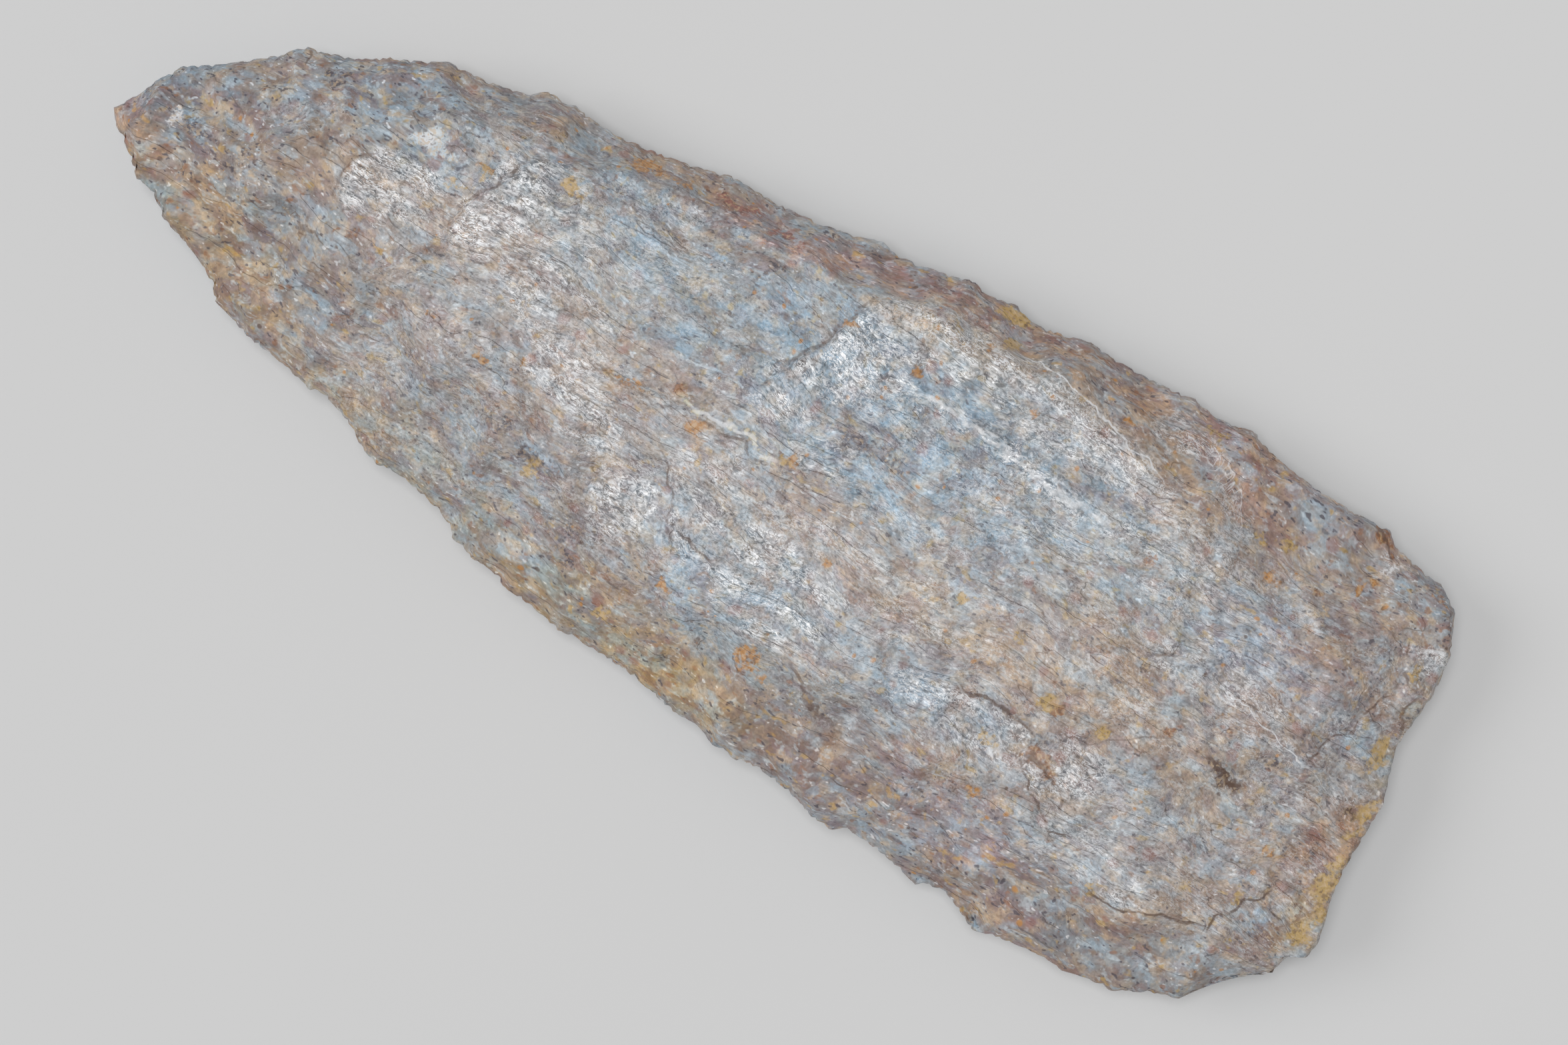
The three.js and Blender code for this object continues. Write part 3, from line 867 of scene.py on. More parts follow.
    def faces(self, ring: Array, sheet: int) -> Array:
        """Corner numbers of every quad, wound so that they face out.

        Args:
            ring: places of the rim's points in a sheet.
            sheet: number of points in a sheet.

        Returns:
            One row of four corners for each quad. Corners repeat where a quad closes up at the tip.
        """
        places = np.arange(sheet).reshape(self.ribs, self.steps)
        a, b = places[:-1, :-1].ravel(), places[1:, :-1].ravel()
        c, d = places[1:, 1:].ravel(), places[:-1, 1:].ravel()
        count = len(ring)
        rows = [ring]
        rows += [2 * sheet + count * k + np.arange(count) for k in range(self.band_rows - 1)]
        rows += [ring + sheet]
        quads = [np.stack([a, b, c, d], 1), np.stack([a, d, c, b], 1) + sheet]
        for above, below in zip(rows[:-1], rows[1:]):
            quads.append(np.stack([below, np.roll(below, -1), np.roll(above, -1), above], 1))
        return np.concatenate(quads)

    def to_object(self, points: Array, quads: Array) -> bpy.types.Object:
        """Puts the arrays into a mesh, and closes it up at the tip.

        Points in one place become one, and a quad that then has only three corners a triangle.

        Args:
            points: x, y and z in millimetres.
            quads: corner numbers.

        Returns:
            The object, linked to the scene.
        """
        _, first, same = np.unique(np.round(points, 5), axis=0, return_index=True, return_inverse=True)
        same = same.reshape(-1)
        quads = same[quads]
        repeated = quads == np.roll(quads, -1, 1)
        keep = repeated.sum(1) <= 1
        quads, repeated = quads[keep], repeated[keep]
        flat = ~repeated
        sizes = flat.sum(1)
        mesh = bpy.data.meshes.new(NODE + "_stone")
        mesh.vertices.add(len(first))
        mesh.vertices.foreach_set("co", (points[first] * MM).astype(np.float32).ravel())
        mesh.loops.add(int(sizes.sum()))
        mesh.loops.foreach_set("vertex_index", quads[flat].astype(np.int32))
        mesh.polygons.add(len(quads))
        mesh.polygons.foreach_set("loop_start", np.concatenate([[0], np.cumsum(sizes)[:-1]]).astype(np.int32))
        mesh.update(calc_edges=True)
        mesh.validate()
        mesh.polygons.foreach_set("use_smooth", np.ones(len(mesh.polygons), bool))
        mesh.set_sharp_from_angle(angle=math.radians(self.crease))
        blade = bpy.data.objects.new(NODE + "_stone", mesh)
        bpy.context.collection.objects.link(blade)
        return blade


# Places where the fresh fracture glitters
GLITTER: tuple[Spot, ...] = (
    Spot(-27.8, 2.7, 3.4, 2.1, 16, 1), Spot(-21.4, 4.8, 2.3, 3.9, -12, 1), Spot(-18, 5, 3.4, 3.6, 0, 0.8),
    Spot(-14.8, 1.2, 4.6, 2.4, -12, 0.8), Spot(-12, -2.2, 5.2, 1.8, -25, 0.85),
    Spot(-11.5, 8.5, 5.5, 3.2, 5, 0.45), Spot(-0.2, 5, 2.2, 2.2, 60, 0.95), Spot(2.4, 8.2, 2.2, 1.8, 40, 0.9),
    Spot(6.5, 12.3, 5.2, 1.9, 8, 1), Spot(16, 11.8, 7.5, 2.2, -4, 0.8), Spot(10, 8.9, 6, 0.6, 0, 1),
    Spot(17.5, 8.1, 5.5, 0.6, -2, 1), Spot(12, 6, 10, 1, -4, 0.6), Spot(3.5, 2.4, 2.2, 1.2, 20, 0.8),
    Spot(12, 2.6, 12, 2, 0, 0.45), Spot(26, 8, 5, 3.2, 0, 0.55), Spot(-1.2, -2.5, 1.4, 2.6, 0, 0.8),
    Spot(-5.3, -6.3, 1.9, 2.6, 10, 0.95), Spot(-0.4, -5.6, 2, 1.8, 0, 0.9), Spot(5, -6.2, 4.8, 3.2, -8, 1),
    Spot(8.5, -3, 9, 2.6, 0, 0.55), Spot(17.5, -6.8, 3.2, 1.1, 2, 1), Spot(20.5, -7.4, 3.4, 1.1, 0, 0.7),
    Spot(26.6, -6.6, 2.2, 2.6, 0, 0.9), Spot(29.5, -9.8, 3.8, 1.6, 10, 0.6), Spot(33.6, -10.9, 1.8, 0.7, 15, 1),
    Spot(30.5, 3.6, 3.6, 1.7, 5, 0.75), Spot(34.5, 2.6, 3.4, 1.2, -10, 0.7), Spot(29, -1.2, 3.6, 2, 0, 0.5),
    Spot(35.5, -4.8, 4.5, 2.6, 0, 0.35), Spot(22, 15.2, 2.4, 1, 0, 0.8), Spot(27, 12.8, 2.2, 0.9, -35, 0.6),
    Spot(42.3, 11.5, 1.2, 0.7, 5, 1), Spot(37.3, 14.8, 0.9, 0.7, 30, 0.7), Spot(42.2, 0.9, 0.9, 0.4, 0, 1),
    Spot(38.3, 5.2, 1.2, 0.6, -20, 0.6), Spot(-35, 3.6, 2.6, 1, 30, 0.3),
)

# Broad washes of colour, laid over each other in this order; a few are painted shade and sheen
WASHES: tuple[Spot, ...] = (
    Spot(-38, 4, 9, 5, 35, 0.6, Tone.GREY), Spot(-42, 2.2, 3.6, 1.6, 40, 0.5, Tone.BLUE),
    Spot(-42.8, -0.9, 3, 1.8, 0, 0.85, Tone.SLATE), Spot(-44.8, -2.1, 1.5, 1.2, 0, 0.8, Tone.RED),
    Spot(-39, -4.4, 6, 3, -22, 0.95, Tone.EARTH), Spot(-32, -4.5, 6.5, 4, -12, 0.6, Tone.EARTH),
    Spot(-36, 0.5, 4, 1.6, 20, 0.5, Tone.EARTH), Spot(-26.5, -6.5, 7, 3, -14, 0.5, Tone.GREY),
    Spot(-27, -9.8, 8, 1.4, -14, 0.6, Tone.SAND), Spot(-26, 8.8, 7, 2.4, 20, 0.8, Tone.GREY),
    Spot(-24.5, 10.4, 4.5, 1.8, 14, 0.5, Tone.SLATE), Spot(-7, 13.2, 3.5, 1, 8, 0.5, Tone.EARTH),
    Spot(-27, 5, 4, 1.4, 10, 0.6, Tone.BLUE), Spot(-17.5, 11.6, 8, 1.3, 8, 0.75, Tone.EARTH),
    Spot(-14, -8, 8, 2.2, -15, 0.6, Tone.GREY), Spot(-16, -11.8, 11, 2, -12, 0.75, Tone.SAND),
    Spot(-9, -8, 3, 2, -30, 0.5, Tone.SLATE), Spot(-12, 7, 9, 4.5, 0, 0.8, Tone.BLUE),
    Spot(-4, 10.5, 5, 2.6, 0, 0.5, Tone.GREY), Spot(7, 6, 14, 6, 0, 0.95, Tone.BLUE),
    Spot(4.5, 4.5, 4.5, 2.2, 0, 0.35, Tone.SLATE), Spot(8, 13.2, 6, 1.5, 4, 0.6, Tone.CREAM),
    Spot(17, 11.4, 9, 2, -3, 0.5, Tone.PINK), Spot(6, -1.6, 14, 2.4, 0, 0.8, Tone.PINK),
    Spot(-6.5, -0.2, 3.5, 1.5, 0, 0.55, Tone.EARTH), Spot(-9, -2.8, 8, 1.8, 0, 0.7, Tone.PINK),
    Spot(2, -7, 8, 3.2, 0, 0.8, Tone.BLUE), Spot(18, -7.2, 4, 1.6, 0, 0.6, Tone.MILK),
    Spot(15, -2.4, 9, 1.6, 0, 0.6, Tone.TAN), Spot(24, 6.5, 10, 4, 0, 0.8, Tone.BLUE),
    Spot(31, 1.2, 9, 2, -4, 0.5, Tone.EARTH), Spot(33, 12.6, 9, 4.6, 0, 0.8, Tone.PINK),
    Spot(36.5, 5, 6.5, 3.5, 0, 0.5, Tone.MAUVE), Spot(34, -6, 9, 4.5, 0, 0.6, Tone.PINK),
    Spot(19, -13.4, 13, 2.6, -3, 0.45, Tone.MAUVE), Spot(31, -14.6, 10, 2.8, 8, 0.6, Tone.EARTH),
    Spot(17, 15.9, 10, 1.2, 3, 0.55, Tone.RED), Spot(30, 16.2, 8, 1.2, -2, 0.35, Tone.RED),
    Spot(3, 15.2, 5, 0.9, 9, 0.4, Tone.BROWN), Spot(-5, 12.9, 6, 0.8, 6, 0.6, Tone.RED),
    Spot(0, -13.4, 10, 2.2, -4, 0.8, Tone.SAND), Spot(-1, -14.6, 7, 0.8, -5, 0.5, Tone.OCHRE),
    Spot(9, -11.2, 4, 1.2, 0, 0.5, Tone.TAN), Spot(43, -3.2, 2.6, 5.2, 0, 0.95, Tone.EARTH),
    Spot(41.5, 8.5, 2.4, 4.5, 0, 0.5, Tone.PINK), Spot(44.2, -1, 0.7, 7, 0, 0.5, Tone.OCHRE),
    Spot(44.4, -8, 1.4, 1.6, 0, 0.5, Tone.OCHRE), Spot(42.8, 0.6, 1.7, 1.3, 0, 0.8, Tone.BROWN),
    Spot(43.2, 8, 0.6, 4, 0, 0.4, Tone.OCHRE), Spot(-39.5, -6, 6, 1.5, -30, 0.7, Tone.SAND),
    Spot(-33, 9.6, 4.2, 2, 25, 0.55, Tone.SLATE), Spot(-43.6, -3, 2.6, 2.2, 0, 0.45, Tone.BROWN),
    Spot(15, 15.2, 9, 1.5, -1, 0.8, Tone.EARTH), Spot(43, -4, 2.2, 5.6, -8, 0.85, Tone.BROWN),
    Spot(4, 14.6, 6, 0.9, 8, 0.7, Tone.RED), Spot(-5, 12.6, 5, 0.7, 8, 0.7, Tone.RED),
    Spot(13, -13.2, 8, 2.6, -3, 0.7, Tone.EARTH), Spot(22, -12.4, 5, 2, 0, 0.4, Tone.RED),
    Spot(8, -9.8, 4, 1.4, 0, 0.5, Tone.TAN), Spot(31, -1.5, 7, 2.2, -5, 0.55, Tone.TAN),
    Spot(38.5, 4.5, 5, 4, 0, 0.5, Tone.EARTH), Spot(33.5, 6.5, 5, 2, 0, 0.45, Tone.MAUVE),
    Spot(20.5, 14.8, 9, 1.7, -6, 0.7, Tone.EARTH), Spot(13, 16, 8, 1.4, 2, 0.6, Tone.BROWN),
    Spot(26.5, 14.6, 4, 1.6, -20, 0.4, Tone.RED), Spot(-18, 8.6, 6, 2.2, 5, 0.5, Tone.GREY),
    Spot(42.6, -3, 2.2, 5, -5, 0.6, Tone.UMBER), Spot(34.4, -1.4, 2.2, 0.6, -8, 0.6, Tone.BROWN),
    Spot(41.2, 4.7, 1.1, 0.9, 0, 0.9, Tone.PALE), Spot(41.2, -7.7, 1.1, 0.9, 0, 0.8, Tone.MILK),
    Spot(42.3, -6.5, 0.7, 0.6, 0, 0.6, Tone.MILK), Spot(33, 9.3, 1.2, 0.7, -10, 0.6, Tone.SLATE),
    Spot(35.3, 9.4, 1, 0.6, -10, 0.6, Tone.SLATE), Spot(-8, 12.4, 5, 1, 8, 0.5, Tone.BROWN),
    Spot(-43.5, -1, 2.6, 3.2, 0, 0.35, Tone.BROWN), Spot(30.5, 6.6, 3.6, 1.2, -5, 0.5, Tone.SLATE),
    Spot(-14, -7.5, 4, 1.2, -15, 0.5, Tone.TAN), Spot(-35, -5.5, 5, 2.4, -22, 0.6, Tone.SAND),
    Spot(18, -1.6, 8, 1.5, -3, 0.5, Tone.TAN), Spot(-10, 6, 6, 3, 0, 0.6, Tone.BLUE),
    Spot(43.8, -6, 1, 2.6, -10, 0.7, Tone.OCHRE), Spot(2.8, -14.2, 5, 1.4, 0, 0.6, Tone.OCHRE),
    # Spot(6.5, 10.5) and Spot(2.6, 4.3) below are painted shade: slate bands along two hollows.
    Spot(6.5, 10.5, 5.6, 0.6, 3, 0.75, Tone.SLATE), Spot(2.6, 4.3, 2.6, 0.5, 10, 0.7, Tone.SLATE),
    # Spot(-3.8, 9) below is painted shade in a hollow, and Spot(-11, -7.3) a painted shadow beside a step.
    Spot(-3.8, 9, 0.7, 1.1, 0, 0.6, Tone.DARK), Spot(-11, -7.3, 5, 0.7, -18, 0.6, Tone.DARK),
    # Spot(-2.7, -0.2) below is a painted shadow under the pale vein's step, and Spot(21.4, -5.5) a painted sheen
    # on the glossy scar under a step.
    Spot(-2.7, -0.2, 2.4, 0.5, 3, 0.75, Tone.BROWN), Spot(21.4, -5.5, 2.2, 0.4, -2, 0.7, Tone.SLATE),
    Spot(15, 5.6, 9, 0.8, -1, 0.6, Tone.MILK), Spot(17, 10.4, 7, 0.5, -4, 0.5, Tone.SLATE),
    Spot(24.3, 0.8, 1.8, 0.5, -20, 0.6, Tone.BROWN), Spot(42.2, 14.2, 0.9, 0.8, 0, 0.6, Tone.BROWN),
)

# Stains, inclusions and pits with an edge of their own, and one painted shadow
STAINS_AND_SHADOW: tuple[Spot, ...] = (
    Spot(-18, 8.5, 0.9, 0.75, 0, 0.95, Tone.OCHRE), Spot(-18.9, 4.9, 0.55, 0.5, 0, 0.7, Tone.RED),
    Spot(-41.8, -0.65, 0.7, 0.6, 0, 0.9, Tone.WHITE), Spot(-27.3, 6.4, 1.3, 0.75, 12, 1, Tone.PALE),
    Spot(-25.8, 6.3, 0.8, 0.5, 0, 0.6, Tone.PALE), Spot(-27.5, 6.4, 0.8, 0.5, 12, 0.75, Tone.WHITE),
    Spot(-17.4, -3.4, 0.55, 0.3, 30, 0.95, Tone.ORANGE), Spot(-21.5, -2.7, 0.4, 0.3, 0, 0.9, Tone.ORANGE),
    Spot(-23.5, 6.6, 0.6, 0.35, 0, 0.7, Tone.ORANGE), Spot(-28.7, -1.2, 0.7, 0.35, 20, 0.85, Tone.RUST),
    Spot(-26.5, -0.9, 0.4, 0.3, 0, 0.7, Tone.ORANGE), Spot(-29.5, -0.2, 1.1, 0.4, 10, 0.5, Tone.OCHRE),
    Spot(6, -10.7, 0.8, 0.95, -15, 0.95, Tone.ORANGE), Spot(7.2, -11.2, 0.7, 0.4, -30, 0.6, Tone.ORANGE),
    Spot(9.7, -11.2, 0.5, 0.4, 0, 0.7, Tone.OCHRE), Spot(-0.6, -9.6, 0.6, 0.28, -31, 0.9, Tone.ORANGE),
    Spot(-3.1, -13.1, 0.6, 0.45, 0, 0.8, Tone.OCHRE), Spot(24.5, -6.5, 1, 0.5, -12, 1, Tone.RUST),
    Spot(25.6, -7.1, 0.9, 0.36, -28, 1, Tone.RUST), Spot(21.3, -7.2, 0.7, 0.5, 0, 0.6, Tone.OCHRE),
    Spot(22.3, -10.3, 0.55, 0.5, 0, 0.7, Tone.ORANGE), Spot(36.7, 13.5, 0.3, 0.3, 0, 0.95, Tone.ORANGE),
    Spot(31, 12.7, 0.6, 0.35, 0, 0.7, Tone.OCHRE), Spot(29.3, 12.2, 0.6, 0.4, 0, 0.8, Tone.OCHRE),
    Spot(35.3, -1.6, 1.3, 0.6, -10, 0.85, Tone.UMBER), Spot(33.6, -1.2, 1.2, 0.25, -8, 0.6, Tone.UMBER),
    Spot(37, 0.8, 0.35, 0.3, 0, 0.9, Tone.DARK), Spot(23.8, 16.5, 1, 0.3, 8, 0.9, Tone.OCHRE),
    Spot(-15, 12.1, 1.3, 0.45, 10, 0.8, Tone.ORANGE), Spot(-12.8, 12.4, 0.7, 0.35, 10, 0.7, Tone.ORANGE),
    Spot(-9, 13, 1.6, 0.3, 8, 0.8, Tone.RED), Spot(-5.5, 12.8, 1.4, 0.3, 6, 0.8, Tone.RED),
    Spot(-6, 1.2, 0.4, 0.35, 0, 0.9, Tone.RUST), Spot(-4.1, -0.2, 0.6, 0.5, 0, 0.9, Tone.ORANGE),
    Spot(-2.4, -4.2, 0.45, 0.35, 0, 1, Tone.RUST), Spot(-2.7, -2, 0.5, 0.25, -50, 0.8, Tone.OCHRE),
    Spot(5.7, 9.9, 0.3, 0.5, 10, 0.9, Tone.ORANGE), Spot(2, 1.2, 0.5, 0.35, -30, 0.8, Tone.ORANGE),
    Spot(27.4, 1.7, 0.5, 0.35, 0, 0.95, Tone.UMBER), Spot(27, 1.9, 0.45, 0.15, 0, 0.8, Tone.OCHRE),
    Spot(15.3, -0.7, 0.45, 0.35, 0, 0.8, Tone.OCHRE), Spot(19.6, -0.9, 0.4, 0.35, 0, 0.8, Tone.OCHRE),
    Spot(23.2, -3.3, 0.8, 0.6, 20, 0.9, Tone.OCHRE), Spot(23.9, -3.4, 0.4, 0.3, 0, 0.9, Tone.RUST),
    Spot(27.1, -3.2, 0.45, 0.4, 0, 0.9, Tone.OCHRE), Spot(30.3, -0.8, 0.45, 0.4, 0, 1, Tone.RUST),
    Spot(-34.8, 6.6, 1.4, 0.4, 30, 0.5, Tone.DARK), Spot(-36.3, -0.8, 1.6, 0.5, 30, 0.45, Tone.DARK),
    # Spot(-13, -6.7) below is a painted shadow along the low side of a step.
    Spot(-40, -0.4, 1.6, 0.5, 10, 0.5, Tone.DARK), Spot(-13, -6.7, 2.4, 0.6, -12, 0.5, Tone.DARK),
    Spot(-7, -10.6, 0.8, 1.9, 20, 0.4, Tone.DARK), Spot(5.5, 4.2, 3.2, 0.8, 0, 0.4, Tone.DARK),
    Spot(-5, 9.8, 0.9, 2.4, 0, 0.35, Tone.DARK), Spot(-4.8, 0.8, 1, 0.2, -8, 0.95, Tone.BONE),
    Spot(-2.9, 0.9, 1.3, 0.24, 8, 1, Tone.BONE), Spot(-0.8, 1, 0.8, 0.26, -20, 1, Tone.BONE),
    Spot(0.6, 0.5, 1, 0.24, -8, 0.9, Tone.BONE), Spot(43.1, 0.6, 0.8, 0.22, 10, 0.95, Tone.UMBER),
    Spot(42.3, 7.4, 0.5, 0.5, 0, 0.7, Tone.BROWN), Spot(42.6, 4.9, 0.6, 1.5, 0, 0.9, Tone.OCHRE),
    Spot(43.8, 0.6, 0.5, 1.8, -10, 0.85, Tone.OCHRE), Spot(44.1, -3, 0.5, 1.8, 0, 0.8, Tone.OCHRE),
    Spot(44.4, -6.4, 0.7, 1.4, 0, 0.9, Tone.OCHRE), Spot(42, -8.2, 0.9, 1.2, 30, 0.5, Tone.BROWN),
    Spot(43.6, -5.4, 0.8, 1.3, 0, 0.6, Tone.BROWN), Spot(40.8, 15, 1.2, 0.4, -30, 0.6, Tone.RUST),
    Spot(36, 16.4, 1.2, 0.4, -35, 0.8, Tone.RUST), Spot(9.1, 16.1, 1.3, 0.5, 3, 0.9, Tone.OCHRE),
    Spot(9.8, 14.4, 0.5, 0.4, 0, 0.85, Tone.OCHRE), Spot(0.6, 10.3, 0.45, 0.4, 0, 0.9, Tone.ORANGE),
    Spot(6.4, 13.5, 0.25, 0.4, 0, 0.85, Tone.OCHRE), Spot(8.7, 13.5, 0.35, 0.4, 0, 0.7, Tone.ORANGE),
    Spot(13, 11.5, 0.5, 0.25, -30, 0.8, Tone.ORANGE), Spot(-15.2, -0.5, 0.3, 0.35, 0, 0.9, Tone.OCHRE),
    Spot(-15.1, -2.2, 0.4, 0.3, 0, 0.8, Tone.ORANGE), Spot(-9.6, 0, 1.6, 0.2, 4, 0.8, Tone.ORANGE),
    Spot(-11.4, -7.7, 0.6, 0.5, 0, 0.8, Tone.OCHRE), Spot(1.6, 0.9, 0.6, 0.3, -20, 0.85, Tone.OCHRE),
    Spot(-26.4, -1, 0.4, 0.35, 0, 0.9, Tone.OCHRE), Spot(-23.4, 6.4, 0.35, 0.6, 30, 0.85, Tone.OCHRE),
    Spot(-24.4, 4.9, 0.9, 0.3, 20, 0.5, Tone.OCHRE), Spot(31.6, -11.8, 0.6, 0.25, -20, 0.9, Tone.OCHRE),
    Spot(40.2, -7.2, 1.2, 0.3, 35, 0.7, Tone.OCHRE), Spot(40.6, -9.8, 0.4, 0.35, 0, 0.8, Tone.OCHRE),
    Spot(44.2, -7.4, 0.9, 0.8, 0, 0.9, Tone.OCHRE), Spot(44, -4, 0.7, 1.6, 10, 0.85, Tone.OCHRE),
    Spot(36.3, -8.4, 0.5, 0.35, 0, 0.7, Tone.OCHRE), Spot(39.8, -4.1, 0.4, 0.35, 0, 0.8, Tone.ORANGE),
    Spot(36.3, 12.7, 0.35, 0.22, -60, 0.95, Tone.ORANGE), Spot(38.3, 12.7, 0.3, 0.18, -40, 0.95, Tone.ORANGE),
    Spot(34, 11, 0.6, 0.2, -30, 0.9, Tone.RUST), Spot(35, 10.3, 0.5, 0.35, -30, 0.8, Tone.CREAM),
    Spot(32.3, 13.7, 0.4, 0.35, 0, 0.8, Tone.CREAM), Spot(31.1, 10.4, 0.7, 0.3, -30, 0.8, Tone.ORANGE),
    Spot(33.6, 2.9, 0.5, 0.2, -30, 0.9, Tone.RUST), Spot(32.6, 1.6, 0.4, 0.25, 0, 0.8, Tone.ORANGE),
    Spot(33.9, 0.9, 0.25, 0.22, 0, 0.9, Tone.RUST), Spot(24, 7.5, 0.3, 0.5, 0, 0.85, Tone.RUST),
    Spot(14.9, -0.3, 0.5, 0.35, -20, 0.85, Tone.OCHRE), Spot(18.6, 14.1, 0.5, 0.25, -10, 0.9, Tone.ORANGE),
    Spot(7.2, -3.1, 0.4, 0.3, 0, 0.8, Tone.ORANGE), Spot(41.9, 10.3, 0.4, 0.9, -10, 0.7, Tone.OCHRE),
)

# Dark cracks, and painted shadows along steps, drawn as lines
CRACKS_AND_SHADOWS: tuple[Trace, ...] = (
    Trace(((-5.5, -2.1), (-4.1, -3.2), (-2.9, -5), (-2.1, -6.8)), 0.1, show=0.7),
    Trace(((-2.1, -5.9), (-1.2, -6.3), (0.1, -6.6), (1.3, -6.7)), 0.14, show=0.9),
    # This line and the next are painted shadow under the step of the pale vein.
    Trace(((-13.1, -0.6), (-9.7, -0.2), (-6.9, -0.2), (-5.5, -0.2)), 0.13, show=0.6),
    Trace(((-5.6, 0.4), (-4, 0.2), (-2.4, 0.4), (-1.1, 0.5), (-0.1, 0), (1.2, 0)), 0.16, show=0.75),
    Trace(((8.3, -9.4), (9.8, -10.3), (11.4, -11.1), (13.2, -11.8)), 0.11, show=0.7),
    Trace(((10.7, -11.1), (11.1, -11.3), (11.7, -11.3)), 0.24, show=0.9),
    Trace(((17.8, -5.4), (19.9, -5.1), (22, -5), (23.5, -5.5), (23.8, -6.3)), 0.13, show=0.9),
    Trace(((23, -6.3), (23.3, -7), (24.1, -7.8), (25.3, -8.5), (26.3, -9.2), (27.2, -9.9), (29.1, -9.7)), 0.11),
    Trace(((24, -6.7), (24.5, -6.7), (25, -6.8)), 0.26),
    Trace(((24.8, -6.8), (25.6, -7.2), (26.4, -7.6), (27.1, -7.9), (27.3, -9)), 0.12, show=0.8),
    Trace(((24.8, -5.6), (25.4, -4.8), (26.5, -4.1), (28.9, -2.4), (29.9, -1.7), (31.2, -1.1)), 0.07, show=0.6),
    Trace(((31.1, -11.9), (33.4, -12), (35, -11.4), (37, -10.6), (38.9, -10)), 0.11),
    Trace(((39.1, -10.6), (39, -9.7), (39.4, -8.5), (40.7, -7), (41.4, -5.8)), 0.11),
    Trace(((33, -1), (34.3, -1.2), (35.9, -1.5)), 0.12, show=0.8),
    Trace(((34.8, -1.7), (35.5, -1.9), (36.2, -1.7)), 0.13),
    Trace(((34.5, -1), (35.3, -1.4), (36, -2)), 0.08),
    Trace(((40.4, 11.7), (40.8, 11.4), (40.8, 10.7), (41.2, 10.3), (41.9, 8.9)), 0.11, show=0.9),
    Trace(((42.3, 10.7), (42.9, 9.6), (42.6, 8.2), (43.2, 6)), 0.12, show=0.8),
    Trace(((38.8, 1.5), (38.9, 1.9), (39.4, 4), (40.3, 4.8), (40.3, 6.2), (40.6, 7.2), (41.6, 8.6)), 0.1,
          show=0.9),
    Trace(((35.1, 16.9), (36.2, 16.2), (37.2, 15.3)), 0.12, show=0.8),
    Trace(((24, 0.8), (26, 2.4), (28.6, 3.2)), 0.09, show=0.5),
    Trace(((12.7, 3.1), (14.3, 2.7), (19.8, 3.8), (21.9, 4)), 0.08, show=0.4),
    Trace(((-36, -3), (-32, -2.2), (-28.5, -2.6)), 0.09, show=0.7),
    Trace(((-38.4, 0.2), (-35.4, -0.4), (-32.6, -1.6), (-31, -2.9)), 0.08, show=0.5),
    Trace(((-37, 7.4), (-36.4, 6.3)), 0.08, show=0.8),
    # The last three lines are painted shadows along the edges of steps, beside glittering patches.
    Trace(((-30.7, 0.3), (-31, 3), (-30.1, 4)), 0.13, show=0.6),
    Trace(((-23.9, 2.1), (-23.5, 4.2), (-22.7, 5.6), (-21.9, 7.2), (-21.6, 8.8)), 0.14, show=0.65),
    Trace(((-2.4, 3.9), (-1.3, 6.5), (0.1, 8.7), (0.5, 10.6), (1.6, 13)), 0.14, show=0.65),
)

# Pale veins, and painted highlights along ridges and along a glitter streak, drawn as lines
VEINS_AND_GLINTS: tuple[Trace, ...] = (
    Trace(((-5.6, 0.9), (-4.1, 0.7), (-2.4, 1), (-1, 1.1), (0.2, 0.5), (1.6, 0.5)), 0.17, show=0.75),
    # A painted highlight: the bright line along the crest of the ridge.
    Trace(((9.8, 14.2), (11.2, 14.2), (13.7, 14.1), (15.9, 13.8), (18, 13.1), (19.9, 12.7), (22, 12.2), (23,
          11.6)), 0.07, show=1),
    # A painted highlight along the bright streak of glitter.
    Trace(((5.2, 8.4), (7.1, 8.9), (10, 8.8), (13.6, 8.4), (16.6, 8), (19.6, 7.9), (21.7, 8.1)), 0.2, show=0.7),
    Trace(((17.5, -5.3), (18.7, -5.4), (20.3, -5.8)), 0.07, show=0.8),
    # A painted highlight along the crest of a ridge towards the butt.
    Trace(((31.4, 3.2), (32.1, 3.1), (34.5, 2.6), (36.6, 2.1), (38.7, 1.6), (41.6, 1)), 0.06, show=0.9),
    Trace(((22, 15.4), (24.6, 14.5), (26.4, 12.9)), 0.05, show=0.6),
    Trace(((23.6, 15.6), (25.9, 14.3), (27.2, 12.4)), 0.05, show=0.7),
    Trace(((25, 15.4), (27, 13.8), (28, 11.8)), 0.05, show=0.6),
    Trace(((37.5, 15.1), (37.3, 14.6)), 0.2, show=0.9),
    Trace(((41.4, 11.6), (42.3, 12), (43.3, 12)), 0.14, show=0.8),
)


class Maps(Enum):
    """Names of the attributes that carry the blade's colour, glitter and lines, painted shade and highlights
    among them.
    """

    WASH = "wash"
    STAIN_AND_SHADOW = "stain_and_shadow"
    GLITTER = "glitter"
    CRACK_AND_SHADOW_SIDE = "crack_and_shadow_side"
    CRACK_AND_SHADOW_NEAR = "crack_and_shadow_near"
    VEIN_AND_GLINT_SIDE = "vein_and_glint_side"
    VEIN_AND_GLINT_NEAR = "vein_and_glint_near"


